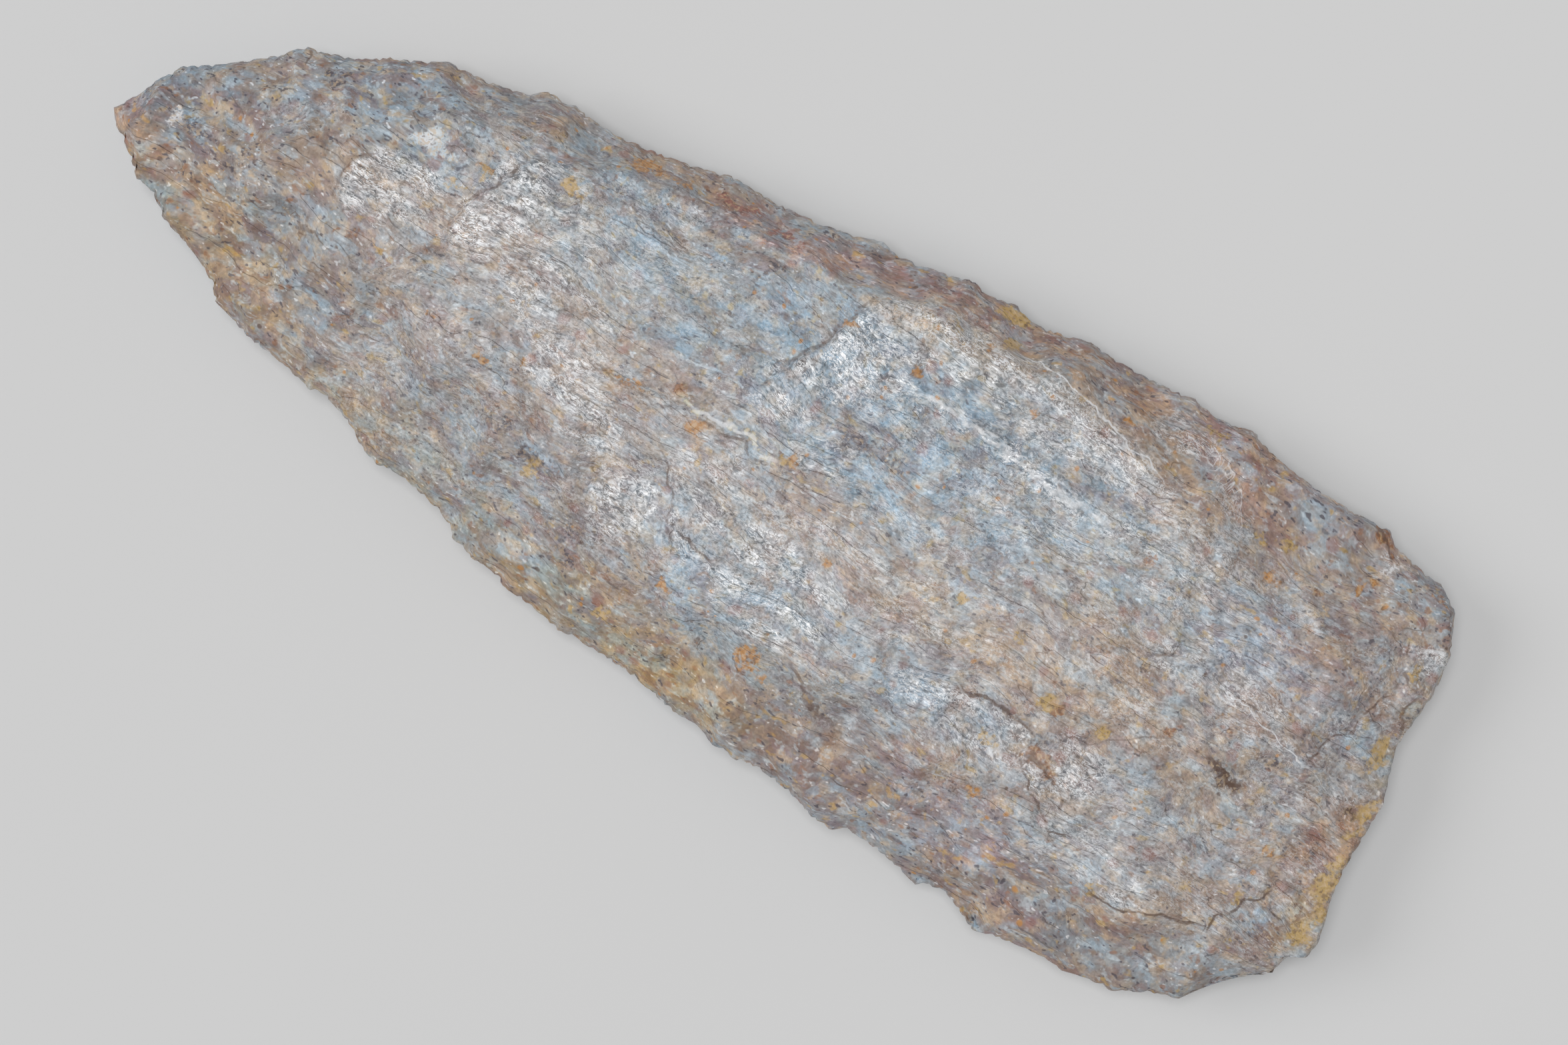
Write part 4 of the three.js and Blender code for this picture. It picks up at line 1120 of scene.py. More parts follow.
@dataclass(frozen=True)
class BladeMaps:
    """Works out, for each point of the blade, where its washes, stains and lines lie, painted shade and
    highlights among them.

    Attributes:
        base: the tone under every wash.
        under_base: the tone of the under face.
        reach: how far from a line its distance is kept, in millimetres.
        stray: how far a border strays from its oval, in millimetres.
        fine_stray: how far it strays over shorter runs.
        steady: share of that by which stains and lines stray.
        wash_hard: how sharp the borders of washes are, from 0 to 1.
        stain_and_shadow_hard: how sharp the borders of the stains and of the painted shadow are.
        glint_hard: how sharp the borders of glitter are.
        sheen: the faint glitter along the middle of the blade.
        veil: how much of the glitter the stains and the painted shadow hide.
    """

    base: Tone = Tone.PINK
    under_base: Tone = Tone.GREY
    reach: float = 0.8
    stray: float = 0.35
    fine_stray: float = 0.14
    steady: float = 0.3
    wash_hard: float = 0.1
    stain_and_shadow_hard: float = 0.55
    glint_hard: float = 0.5
    sheen: float = 0.33
    veil: float = 0.8

    def read(self, mesh: bpy.types.Mesh, name: str) -> Array:
        """Reads a vector of every point.

        Args:
            mesh: the mesh.
            name: which vector, such as co or normal.

        Returns:
            The vectors' X, Y and Z, one row each.
        """
        values = np.empty(len(mesh.vertices) * 3, np.float32)
        mesh.vertices.foreach_get(name, values)
        return values.reshape(-1, 3).T.astype(float)

    def shift(self, x: Array, y: Array, seed: int) -> Array:
        """How far borders stray at each place: broad waves and finer ones over them."""
        return self.stray * waves(x, y, 1.6, seed) + self.fine_stray * waves(x, y, 0.6, seed + 1)

    def layer(self, spots: tuple[Spot, ...], x: Array, y: Array, start: Array, hard: float) -> Array:
        """Lays spots over each other: colour (1 - mask) + tone mask, in turn.

        Args:
            spots: the spots.
            x: places along X.
            y: places along Y.
            start: red, green, blue and strength before the first spot.
            hard: how sharp the spots' edges are.

        Returns:
            Red, green, blue and strength for each place.
        """
        colour = start.copy()
        for seed, spot in enumerate(spots):
            patchy = np.clip(0.75 + 0.45 * waves(x, y, 2.4, 300 + seed, count=12), 0, 1) ** (1 - hard)
            mask = (spot.mask(x, y, hard) * patchy)[:, None]
            tone = np.array([*spot.tone.linear(), 1.0])
            colour = colour * (1 - mask) + tone * mask
        return colour

    def lines(self, traces: tuple[Trace, ...], x: Array, y: Array) -> tuple[Array, Array]:
        """The nearest line's distance, with its side, and a mask that is 1 beside a line.

        Args:
            traces: the lines.
            x: places along X.
            y: places along Y.

        Returns:
            The distance in widths of the line, + on its left, and the mask.
        """
        side = np.full(x.shape, 9.0)
        near = np.zeros(x.shape)
        for trace in traces:
            signed, ends = trace.measure(x, y)
            beside = ends * (1 - ramp(np.abs(signed), self.reach * 0.5, self.reach))
            closer = np.abs(signed) / trace.width < np.abs(side)
            side = np.where(closer, np.clip(signed / trace.width, -9, 9), side)
            near = np.maximum(near, beside * trace.show)
        return side, near

    def dress(self, blade: bpy.types.Object) -> None:
        """Writes every map onto the blade's mesh.

        Args:
            blade: the blade's object.
        """
        mesh = blade.data
        x, y, _ = self.read(mesh, "co") / MM
        top = ramp(self.read(mesh, "normal")[2], -0.1, 0.15)
        dx, dy = self.shift(x, y, 71), self.shift(x, y, 73)
        wx, wy = x + dx, y + dy
        near_x, near_y = x + dx * self.steady, y + dy * self.steady
        base = np.tile([*self.base.linear(), 1.0], (len(x), 1))
        under = np.array([*self.under_base.linear(), 1.0])
        wash = self.layer(WASHES, wx, wy, base, self.wash_hard)
        wash = wash * top[:, None] + under * (1 - top[:, None])
        stain_and_shadow = self.layer(STAINS_AND_SHADOW, near_x, near_y, np.zeros((len(x), 4)), self.stain_and_shadow_hard)
        stain_and_shadow[:, :3] /= np.maximum(stain_and_shadow[:, 3:], 1e-3)
        stain_and_shadow[:, 3] *= top
        glitter = self.sheen * (1 - ramp(np.abs(y), 9.0, 14.4)) * ramp(x, -32, -22)
        for spot in GLITTER:
            glitter = np.maximum(glitter, spot.mask(wx, wy, self.glint_hard))
        for step in STEPS:
            glitter = np.maximum(glitter, step.glitter(near_x, near_y))
        glitter *= top * (1 - self.veil * stain_and_shadow[:, 3])
        # Cracks with painted shadows along steps, and veins with painted highlights along ridges.
        crack_and_shadow_side, crack_and_shadow_near = self.lines(CRACKS_AND_SHADOWS, near_x, near_y)
        vein_and_glint_side, vein_and_glint_near = self.lines(VEINS_AND_GLINTS, near_x, near_y)
        for name, values in (
            (Maps.GLITTER, glitter), (Maps.CRACK_AND_SHADOW_SIDE, crack_and_shadow_side), (Maps.CRACK_AND_SHADOW_NEAR, crack_and_shadow_near * top),
            (Maps.VEIN_AND_GLINT_SIDE, vein_and_glint_side), (Maps.VEIN_AND_GLINT_NEAR, vein_and_glint_near * top),
        ):
            attribute = mesh.attributes.new(name.value, "FLOAT", "POINT")
            attribute.data.foreach_set("value", values.astype(np.float32))
        for name, colours in ((Maps.WASH, wash), (Maps.STAIN_AND_SHADOW, stain_and_shadow)):
            attribute = mesh.attributes.new(name.value, "FLOAT_COLOR", "POINT")
            attribute.data.foreach_set("color", colours.astype(np.float32).ravel())


class Nodes:
    """A node tree with short calls for the nodes that the finishes use."""

    def __init__(self, tree: bpy.types.NodeTree) -> None:
        """Keeps the tree that it fills."""
        self.tree = tree

    def add(self, kind: str, **values: object) -> bpy.types.Node:
        """Adds a node.

        Args:
            kind: the node's class.
            values: its own properties by name.

        Returns:
            The node.
        """
        node = self.tree.nodes.new(kind)
        for name, value in values.items():
            setattr(node, name, value)
        return node

    def feed(self, socket: Socket, value: object) -> None:
        """Links an output to an input, or sets the input's value.

        Args:
            socket: the input.
            value: an output, or a number, vector or colour.
        """
        if isinstance(value, Socket):
            self.tree.links.new(value, socket)
        else:
            socket.default_value = value

    def math(self, operation: str, *values: object, clamp: bool = False) -> Socket:
        """One Math node.

        Args:
            operation: what it does, such as MULTIPLY.
            values: its inputs in order, each an output or a number.
            clamp: whether the result stays from 0 to 1.

        Returns:
            Its output.
        """
        node = self.add("ShaderNodeMath", operation=operation, use_clamp=clamp)
        for socket, value in zip(node.inputs, values):
            self.feed(socket, value)
        return node.outputs[0]

    def vector(self, operation: str, *values: object) -> Socket:
        """One Vector Math node.

        Args:
            operation: what it does, such as ADD.
            values: its inputs in order, each an output or a vector.

        Returns:
            Its vector output.
        """
        node = self.add("ShaderNodeVectorMath", operation=operation)
        for socket, value in zip(node.inputs, values):
            self.feed(socket, value)
        return node.outputs[0]

    def step(self, value: object, low: float, high: float) -> Socket:
        """A smooth step.

        Args:
            value: what it reads.
            low: the value that gives 0.
            high: the value that gives 1, above low or below it.

        Returns:
            The step's output.
        """
        node = self.add("ShaderNodeMapRange", interpolation_type="SMOOTHSTEP")
        rising = low < high
        for name, item in (("Value", value), ("From Min", min(low, high)), ("From Max", max(low, high)),
                           ("To Min", 0.0 if rising else 1.0), ("To Max", 1.0 if rising else 0.0)):
            self.feed(node.inputs[name], item)
        return node.outputs[0]

    def mix(self, share: object, a: object, b: object, blend: str = "MIX") -> Socket:
        """Mixes two colours.

        Args:
            share: how much of the second shows, from 0 to 1.
            a: the first colour.
            b: the second colour.
            blend: the way that the second is laid on, such as MULTIPLY.

        Returns:
            The mixed colour.
        """
        node = self.add("ShaderNodeMix", data_type="RGBA", blend_type=blend)
        colours = [socket for socket in node.inputs if socket.type == "RGBA"]
        self.feed(node.inputs["Factor"], share)
        self.feed(colours[0], a)
        self.feed(colours[1], b)
        return next(socket for socket in node.outputs if socket.type == "RGBA")

    def noise(self, place: object, scale: float, detail: float = 3.0, rough: float = 0.55) -> Socket:
        """One Noise Texture.

        Args:
            place: where it is read, in millimetres.
            scale: waves to the millimetre.
            detail: octaves of finer noise.
            rough: strength of each finer octave.

        Returns:
            Its value, about 0.5 in the middle.
        """
        node = self.add("ShaderNodeTexNoise")
        for name, value in (("Vector", place), ("Scale", scale), ("Detail", detail), ("Roughness", rough)):
            self.feed(node.inputs[name], value)
        return node.outputs[0]

    def grey(self, value: Socket) -> Socket:
        """A grey colour.

        Args:
            value: its red, green and blue.

        Returns:
            The colour.
        """
        node = self.add("ShaderNodeCombineColor")
        for socket in node.inputs:
            self.feed(socket, value)
        return node.outputs[0]

    def bend(self, place: Socket, scale: float, amount: float) -> Socket:
        """Shifts places by a noise.

        Args:
            place: the places.
            scale: the noise's waves to the millimetre.
            amount: the whole spread of the shift, in millimetres.

        Returns:
            The shifted places.
        """
        shift = self.add("ShaderNodeTexNoise")
        for name, value in (("Vector", place), ("Scale", scale), ("Detail", 1.0)):
            self.feed(shift.inputs[name], value)
        centred = self.vector("SUBTRACT", shift.outputs["Color"], (0.5, 0.5, 0.5))
        return self.vector("ADD", place, self.vector("MULTIPLY", centred, (amount,) * 3))

    def attribute(self, name: Maps) -> bpy.types.Node:
        """An Attribute node that reads one of the blade's maps."""
        return self.add("ShaderNodeAttribute", attribute_name=name.value)

    def group(self, tree: bpy.types.NodeTree, **values: object) -> bpy.types.Node:
        """Places a node group.

        Args:
            tree: the group.
            values: its inputs by name.

        Returns:
            The group's node.
        """
        node = self.add("ShaderNodeGroup", node_tree=tree)
        for name, value in values.items():
            self.feed(node.inputs[name], value)
        return node


def new_group(name: str, inputs: dict[str, tuple[str, object]], outputs: dict[str, str]) -> tuple[
        bpy.types.NodeTree, Nodes, bpy.types.Node, bpy.types.Node]:
    """Starts a node group.

    Args:
        name: the group's name.
        inputs: the kind of socket and the usual value of each named input.
        outputs: the kind of socket of each named output.

    Returns:
        The tree, its Nodes, its input node and its output node.
    """
    tree = bpy.data.node_groups.new(name, "ShaderNodeTree")
    for label, (kind, value) in inputs.items():
        socket = tree.interface.new_socket(label, in_out="INPUT", socket_type=kind)
        if value is not None:
            socket.default_value = value
    for label, kind in outputs.items():
        tree.interface.new_socket(label, in_out="OUTPUT", socket_type=kind)
    nodes = Nodes(tree)
    return tree, nodes, nodes.add("NodeGroupInput"), nodes.add("NodeGroupOutput")


FLOAT, VECTOR = "NodeSocketFloat", "NodeSocketVector"


def speckle_group() -> bpy.types.NodeTree:
    """Scattered round grains: the cells of a Voronoi pattern whose own number is under Density.

    Returns:
        A group with Vector, Scale, Density and Size in, and Mask out.
    """
    tree, n, given, out = new_group(
        "Speckles",
        {"Vector": (VECTOR, None), "Scale": (FLOAT, 1.0), "Density": (FLOAT, 0.1), "Size": (FLOAT, 0.4)},
        {"Mask": FLOAT},
    )
    cells = n.add("ShaderNodeTexVoronoi")
    n.feed(cells.inputs["Vector"], given.outputs["Vector"])
    n.feed(cells.inputs["Scale"], given.outputs["Scale"])
    parts = n.add("ShaderNodeSeparateColor")
    n.feed(parts.inputs[0], cells.outputs["Color"])
    chosen = n.math("LESS_THAN", parts.outputs[0], given.outputs["Density"])
    own_size = n.math("MULTIPLY", given.outputs["Size"], n.math("MULTIPLY_ADD", parts.outputs[1], 0.7, 0.5))
    inside = n.math("SUBTRACT", 1.0, n.math("DIVIDE", cells.outputs["Distance"], own_size), clamp=True)
    soft = n.step(inside, 0.0, 0.55)
    n.feed(out.inputs["Mask"], n.math("MULTIPLY", chosen, soft))
    return tree


def line_group() -> bpy.types.NodeTree:
    """A thin drawn line: 1 where a signed distance in line widths is under 1, beside a line only.

    Returns:
        A group with Side, Near and Wobble in, and Mask out.
    """
    tree, n, given, out = new_group(
        "Line", {"Side": (FLOAT, 9.0), "Near": (FLOAT, 0.0), "Wobble": (FLOAT, 0.5)}, {"Mask": FLOAT}
    )
    moved = n.math("ADD", given.outputs["Side"], n.math("MULTIPLY_ADD", given.outputs["Wobble"], 1.6, -0.8))
    line = n.step(n.math("ABSOLUTE", moved), 1.2, 0.4)
    n.feed(out.inputs["Mask"], n.math("MULTIPLY", line, given.outputs["Near"]))
    return tree


@dataclass(frozen=True)
class Tint:
    """What a noise does to the colour past a value of its own.

    Attributes:
        start: the value at which the tint sets in.
        full: the value at which it is full, above the start or below it.
        strength: how strongly it covers the stone.
        tone: its colour.
    """

    start: float
    full: float
    strength: float
    tone: Tone


@dataclass(frozen=True)
class Cloud:
    """One noise in the stone, from broad mottling to fine specks.

    Attributes:
        scale: waves to the millimetre.
        shape: scale along the blade, as a share of the scale across it.
        detail: octaves of finer noise.
        rough: strength of each finer octave.
        tints: the colours of its high and its low places.
    """

    scale: float
    shape: float
    detail: float
    rough: float
    tints: tuple[Tint, ...]


@dataclass(frozen=True)
class Fleck:
    """One kind of loose grain in the stone.

    Attributes:
        tone: its colour.
        scale: cells to the millimetre.
        density: share of the cells that hold a grain.
        size: radius of a grain, as a share of a cell.
        strength: how strongly it covers the stone.
    """

    tone: Tone
    scale: float
    density: float
    size: float
    strength: float


@dataclass(frozen=True)
class StoneFinish:
    """The blade's stone: mottled, speckled, and glittering where the fracture is fresh, with glints, sheen and
    shade painted into its colour there.

    Attributes:
        name: the material's name.
        clouds: the noises that mottle it.
        flecks: the loose grains that lie in it.
        bump: height of the shader's own relief, in millimetres.
        grain: how strongly the finest grain lightens and darkens.
        shade: how strongly the stone lightens and darkens over a few millimetres.
        hue: how strongly the washes' colour is laid over everything.
        matt: roughness of the matt stone.
        bright: roughness where the fracture glitters.
    """

    name: str = SLOT
    clouds: tuple[Cloud, ...] = (
        Cloud(0.11, 0.5, 2, 0.6, (Tint(0.47, 0.7, 0.5, Tone.BLUE), Tint(0.53, 0.3, 0.5, Tone.TAN))),
        Cloud(0.3, 0.6, 2, 0.6, (Tint(0.48, 0.7, 0.6, Tone.BLUE), Tint(0.52, 0.3, 0.6, Tone.TAN))),
        Cloud(0.75, 0.55, 3, 0.56, (Tint(0.5, 0.67, 0.52, Tone.MILK), Tint(0.48, 0.33, 0.5, Tone.MAUVE))),
        Cloud(1.0, 0.85, 3, 0.56, (Tint(0.52, 0.69, 0.5, Tone.CREAM), Tint(0.47, 0.32, 0.45, Tone.BROWN))),
        Cloud(2.0, 0.7, 2, 0.6, (Tint(0.56, 0.7, 0.5, Tone.PALE), Tint(0.42, 0.29, 0.55, Tone.EARTH))),
        # The white high side of the next cloud is painted glints, tiny white sparkle points; its dark low side is
        # the stone's dark specks.
        Cloud(3.3, 0.6, 1, 0.5, (Tint(0.67, 0.76, 0.6, Tone.WHITE), Tint(0.36, 0.28, 0.8, Tone.DARK))),
        Cloud(2.2, 0.2, 1, 0.5, (Tint(0.66, 0.74, 0.45, Tone.PALE), Tint(0.32, 0.25, 0.5, Tone.DARK))),
        Cloud(1.3, 0.8, 2, 0.5, (Tint(0.62, 0.74, 0.7, Tone.OCHRE), Tint(0.35, 0.27, 0.6, Tone.RUST))),
    )
    flecks: tuple[Fleck, ...] = (
        Fleck(Tone.RED, 0.75, 0.14, 0.42, 0.5), Fleck(Tone.ORANGE, 1.6, 0.04, 0.34, 0.85),
        Fleck(Tone.UMBER, 1.4, 0.06, 0.26, 0.75),
    )
    bump: float = 0.05
    grain: float = 1.2
    shade: float = 0.6
    hue: float = 0.35
    matt: float = 0.55
    bright: float = 0.27

    def material(self) -> bpy.types.Material:
        """Builds the material.

        Returns:
            The stone's material.
        """
        material = bpy.data.materials.new(self.name)
        material.use_nodes = True
        material.node_tree.nodes.clear()
        n = Nodes(material.node_tree)
        mapping = n.add("ShaderNodeMapping")
        n.feed(mapping.inputs["Vector"], n.add("ShaderNodeTexCoord").outputs["Object"])
        n.feed(mapping.inputs["Scale"], (1 / MM,) * 3)
        at = mapping.outputs[0]
        bent = n.bend(n.bend(at, 0.12, 2.4), 1.3, 0.22)
        drawn = n.vector("MULTIPLY", bent, (0.42, 1.0, 1.0))
        flow = n.vector("MULTIPLY", bent, (0.18, 1.0, 1.0))
        curls = n.noise(n.vector("MULTIPLY", bent, (0.5, 1.0, 1.0)), 5.0, 1.0, 0.5)
        thread = n.noise(n.vector("MULTIPLY", bent, (0.16, 1.0, 1.0)), 0.75, 1, 0.5)
        glitter = n.attribute(Maps.GLITTER).outputs["Fac"]
        fresh = self.fresh(n, glitter, drawn, flow)

        colour = self.speckled(n, self.mottled(n, bent, glitter), bent)
        colour = self.threaded(n, colour, thread, drawn)
        colour = self.stained_and_shadowed(n, colour, at)
        # Painted glints, a painted sheen and painted shade in the troughs go into the colour here.
        colour = self.painted_glints_and_shade(n, colour, curls, drawn, fresh)
        colour = self.lines_and_painted_light(n, colour, at)

        bump = n.add("ShaderNodeBump")
        n.feed(bump.inputs["Strength"], 1.0)
        n.feed(bump.inputs["Distance"], self.bump * MM)
        n.feed(bump.inputs["Height"], self.relief(n, curls, thread, drawn, flow, fresh))

        shader = n.add("ShaderNodeBsdfPrincipled")
        n.feed(shader.inputs["Base Color"], colour)
        n.feed(shader.inputs["Roughness"], n.math("MULTIPLY_ADD", fresh, self.bright - self.matt, self.matt))
        n.feed(shader.inputs["Specular IOR Level"], 0.75)
        n.feed(shader.inputs["Normal"], bump.outputs[0])
        end = n.add("ShaderNodeOutputMaterial")
        n.feed(end.inputs["Surface"], shader.outputs[0])
        return material

    def fresh(self, n: Nodes, glitter: Socket, drawn: Socket, flow: Socket) -> Socket:
        """How fresh the fracture is: the glitter's map, broken up by streaks and patches.

        Args:
            n: the material's nodes.
            glitter: the glitter's map.
            drawn: places, drawn out along the blade.
            flow: places, drawn out further.

        Returns:
            The freshness, from 0 to 1.
        """
        streaks = n.math("MULTIPLY_ADD", n.step(n.noise(flow, 0.8, 3, 0.6), 0.38, 0.56), 0.65, 0.35)
        patchy = n.math("MULTIPLY_ADD", n.step(n.noise(drawn, 1.2, 3, 0.7), 0.34, 0.5), 0.5, 0.5)
        return n.math("MULTIPLY", glitter, n.math("MULTIPLY", streaks, patchy), clamp=True)

    def threaded(self, n: Nodes, colour: Socket, thread: Socket, drawn: Socket) -> Socket:
        """Draws thin dark and pale threads, where a long noise passes a value of its own.

        Args:
            n: the material's nodes.
            colour: the colour so far.
            thread: the long noise.
            drawn: places, drawn out along the blade.

        Returns:
            The colour with its threads.
        """
        for middle, strength, tone in ((0.46, 0.35, Tone.UMBER), (0.57, 0.3, Tone.PALE)):
            line = n.step(n.math("ABSOLUTE", n.math("SUBTRACT", thread, middle)), 0.022, 0.007)
            own = n.vector("ADD", drawn, (100 * middle, 0.0, 0.0))
            shown = n.step(n.noise(own, 0.7, 2, 0.5), 0.56, 0.64)
            share = n.math("MULTIPLY", n.math("MULTIPLY", line, shown), strength)
            colour = n.mix(share, colour, (*tone.linear(), 1))
        return colour

    def painted_glints_and_shade(self, n: Nodes, colour: Socket, curls: Socket, drawn: Socket, fresh: Socket) -> Socket:
        """Paints highlights on the crests of the fresh fracture, a faint sheen over it, and shade in its troughs.

        Args:
            n: the material's nodes.
            colour: the colour so far.
            curls: the height of the finest ridges.
            drawn: places, drawn out along the blade.
            fresh: how fresh the fracture is.

        Returns:
            The colour with its glitter.
        """
        line = n.step(n.math("ABSOLUTE", n.math("SUBTRACT", curls, 0.46)), 0.045, 0.01)
        crest = n.math("MAXIMUM", line, n.step(curls, 0.55, 0.61))
        gate = n.step(n.noise(drawn, 2.6, 2, 0.6), 0.33, 0.45)
        lit = n.math("MULTIPLY", n.math("MULTIPLY", crest, gate), fresh)
        # A faint painted sheen: pale laid over the fresh fracture.
        colour = n.mix(n.math("MULTIPLY", fresh, 0.1), colour, (*Tone.PALE.linear(), 1))
        # Painted shade: slate in the troughs between the crests.
        trough = n.math("MULTIPLY", n.step(curls, 0.43, 0.32), n.math("MULTIPLY", fresh, 0.65))
        colour = n.mix(trough, colour, (*Tone.SLATE.linear(), 1))
        # Painted glints: white on the crest lines and crests.
        return n.mix(n.math("MULTIPLY", lit, 0.88), colour, (*Tone.WHITE.linear(), 1))

    def lines_and_painted_light(self, n: Nodes, colour: Socket, at: Socket) -> Socket:
        """Draws the pale veins with the painted highlights along ridges, and over them the dark cracks with the
        painted shadows along steps.

        Args:
            n: the material's nodes.
            colour: the colour so far.
            at: places in millimetres.

        Returns:
            The colour with its veins and cracks.
        """
        lines = line_group()
        wobble = n.noise(at, 0.9, 2, 0.5)
        # Breaks every line up along its length, the painted highlights and shadows too.
        worn = n.math("MULTIPLY_ADD", n.step(n.noise(at, 1.1, 3, 0.6), 0.38, 0.52), 0.6, 0.4)
        # White for veins and painted highlights, umber for cracks and painted shadows.
        for maps, tone, strength in (
            ((Maps.VEIN_AND_GLINT_SIDE, Maps.VEIN_AND_GLINT_NEAR), Tone.WHITE, 0.8),
            ((Maps.CRACK_AND_SHADOW_SIDE, Maps.CRACK_AND_SHADOW_NEAR), Tone.UMBER, 0.75),
        ):
            side, near = (n.attribute(name).outputs["Fac"] for name in maps)
            line = n.group(lines, Side=side, Near=near, Wobble=wobble).outputs["Mask"]
            share = n.math("MULTIPLY", line, n.math("MULTIPLY", worn, strength))
            colour = n.mix(share, colour, (*tone.linear(), 1))
        return colour

    def relief(self, n: Nodes, curls: Socket, thread: Socket, drawn: Socket, flow: Socket,
               fresh: Socket) -> Socket:
        """The finest relief: coarse grain and grooves, and ridges that are livelier where it is fresh.

        Args:
            n: the material's nodes.
            curls: the height of the finest ridges.
            thread: the long noise, whose step gives a groove.
            drawn: places, drawn out along the blade.
            flow: places, drawn out further.
            fresh: how fresh the fracture is.

        Returns:
            The height, in shares of the bump's own.
        """
        coarse = n.noise(drawn, 1.5, 3, 0.6)
        lively = n.math("MULTIPLY_ADD", fresh, 1.3, 0.15)
        grooves = n.math("ADD", n.noise(flow, 2.4, 2, 0.6), n.step(thread, 0.45, 0.47))
        return n.math("ADD", n.math("MULTIPLY_ADD", curls, lively, coarse), n.math("MULTIPLY", grooves, 0.8))

    def mottled(self, n: Nodes, at: Socket, glitter: Socket) -> Socket:
        """The wash of the place, with crystals, soft clouds, fine specks, painted glint points and a little
        random lightening and darkening.

        Args:
            n: the material's nodes.
            at: places in millimetres.
            glitter: how freshly the stone is broken, where the mottling is weaker.

        Returns:
            The colour.
        """
        calm = n.math("MULTIPLY_ADD", glitter, -0.4, 1.0)
        colour = n.attribute(Maps.WASH).outputs["Color"]
        cells = n.add("ShaderNodeTexVoronoi", feature="SMOOTH_F1")
        n.feed(cells.inputs["Vector"], n.bend(n.vector("MULTIPLY", at, (0.7, 1.0, 1.0)), 2.6, 0.35))
        n.feed(cells.inputs["Scale"], 1.5)
        n.feed(cells.inputs["Smoothness"], 0.4)
        parts = n.add("ShaderNodeSeparateColor")
        n.feed(parts.inputs[0], cells.outputs["Color"])
        layers = [
            (parts.outputs[0], (Tint(0.62, 0.85, 0.45, Tone.MILK), Tint(0.36, 0.12, 0.4, Tone.MAUVE))),
            (parts.outputs[1], (Tint(0.62, 0.85, 0.4, Tone.CREAM), Tint(0.3, 0.1, 0.35, Tone.RED))),
        ]
        for i, cloud in enumerate(self.clouds):
            own = n.vector("MULTIPLY", n.vector("ADD", at, (17.0 * i, 5.0 * i, 9.0 * i)), (cloud.shape, 1.0, 1.0))
            layers.append((n.noise(own, cloud.scale, cloud.detail, cloud.rough), cloud.tints))
        for value, tints in layers:
            for tint in tints:
                share = n.math("MULTIPLY", n.step(value, tint.start, tint.full),
                               n.math("MULTIPLY", calm, tint.strength))
                colour = n.mix(share, colour, (*tint.tone.linear(), 1))
        hue = n.mix(1.0, n.attribute(Maps.WASH).outputs["Color"], (*Tone.PINK.linear(), 1), "DIVIDE")
        level = n.add("ShaderNodeRGBToBW")
        n.feed(level.inputs[0], hue)
        hue = n.mix(1.0, hue, n.grey(level.outputs[0]), "DIVIDE")
        colour = n.mix(1.0, colour, n.mix(self.hue, (1, 1, 1, 1), hue), "MULTIPLY")
        depth = n.math("MULTIPLY_ADD", glitter, self.grain, 0.8)
        centred = n.math("SUBTRACT", n.noise(at, 4.6, 1, 0.6), 0.5)
        grain = n.math("MULTIPLY_ADD", centred, depth, 1.0)
        shade = n.math("MULTIPLY_ADD", n.noise(at, 0.4, 3, 0.6), self.shade, 1.0 - self.shade / 2)
        return n.mix(1.0, colour, n.grey(n.math("MULTIPLY", grain, shade)), "MULTIPLY")

    def speckled(self, n: Nodes, colour: Socket, at: Socket) -> Socket:
        """Adds the loose grains.

        Args:
            n: the material's nodes.
            colour: the colour so far.
            at: places in millimetres.

        Returns:
            The colour with its grains.
        """
        speckles = speckle_group()
        for i, fleck in enumerate(self.flecks):
            own = n.vector("ADD", at, (31.0 * i, 17.0 * i, 0.0))
            grains = n.group(speckles, Vector=own, Scale=fleck.scale, Density=fleck.density, Size=fleck.size)
            share = n.math("MULTIPLY", grains.outputs["Mask"], fleck.strength)
            colour = n.mix(share, colour, (*fleck.tone.linear(), 1))
        return colour

    def stained_and_shadowed(self, n: Nodes, colour: Socket, at: Socket) -> Socket:
        """Lays the map of stains and of the painted shadow over the colour, with a grainy edge.

        Args:
            n: the material's nodes.
            colour: the colour so far.
            at: places in millimetres.

        Returns:
            The colour with its stains.
        """
        stain_and_shadow = n.attribute(Maps.STAIN_AND_SHADOW)
        strength = stain_and_shadow.outputs["Alpha"]
        grains = n.noise(at, 2.6, 2, 0.6)
        cover = n.step(n.math("MULTIPLY_ADD", grains, 2.6, n.math("SUBTRACT", strength, 1.3)), 0.15, 0.85)
        share = n.math("MULTIPLY", cover, n.step(strength, 0.02, 0.3))
        speck = n.noise(n.vector("ADD", at, (3.0, 7.0, 1.0)), 3.4, 1, 0.5)
        own = n.mix(n.math("MULTIPLY", n.step(speck, 0.52, 0.62), 0.55), stain_and_shadow.outputs["Color"],
                    (*Tone.CREAM.linear(), 1))
        own = n.mix(n.math("MULTIPLY", n.step(speck, 0.44, 0.34), 0.6), own, (*Tone.UMBER.linear(), 1))
        return n.mix(n.math("MULTIPLY", share, 0.9), colour, own)


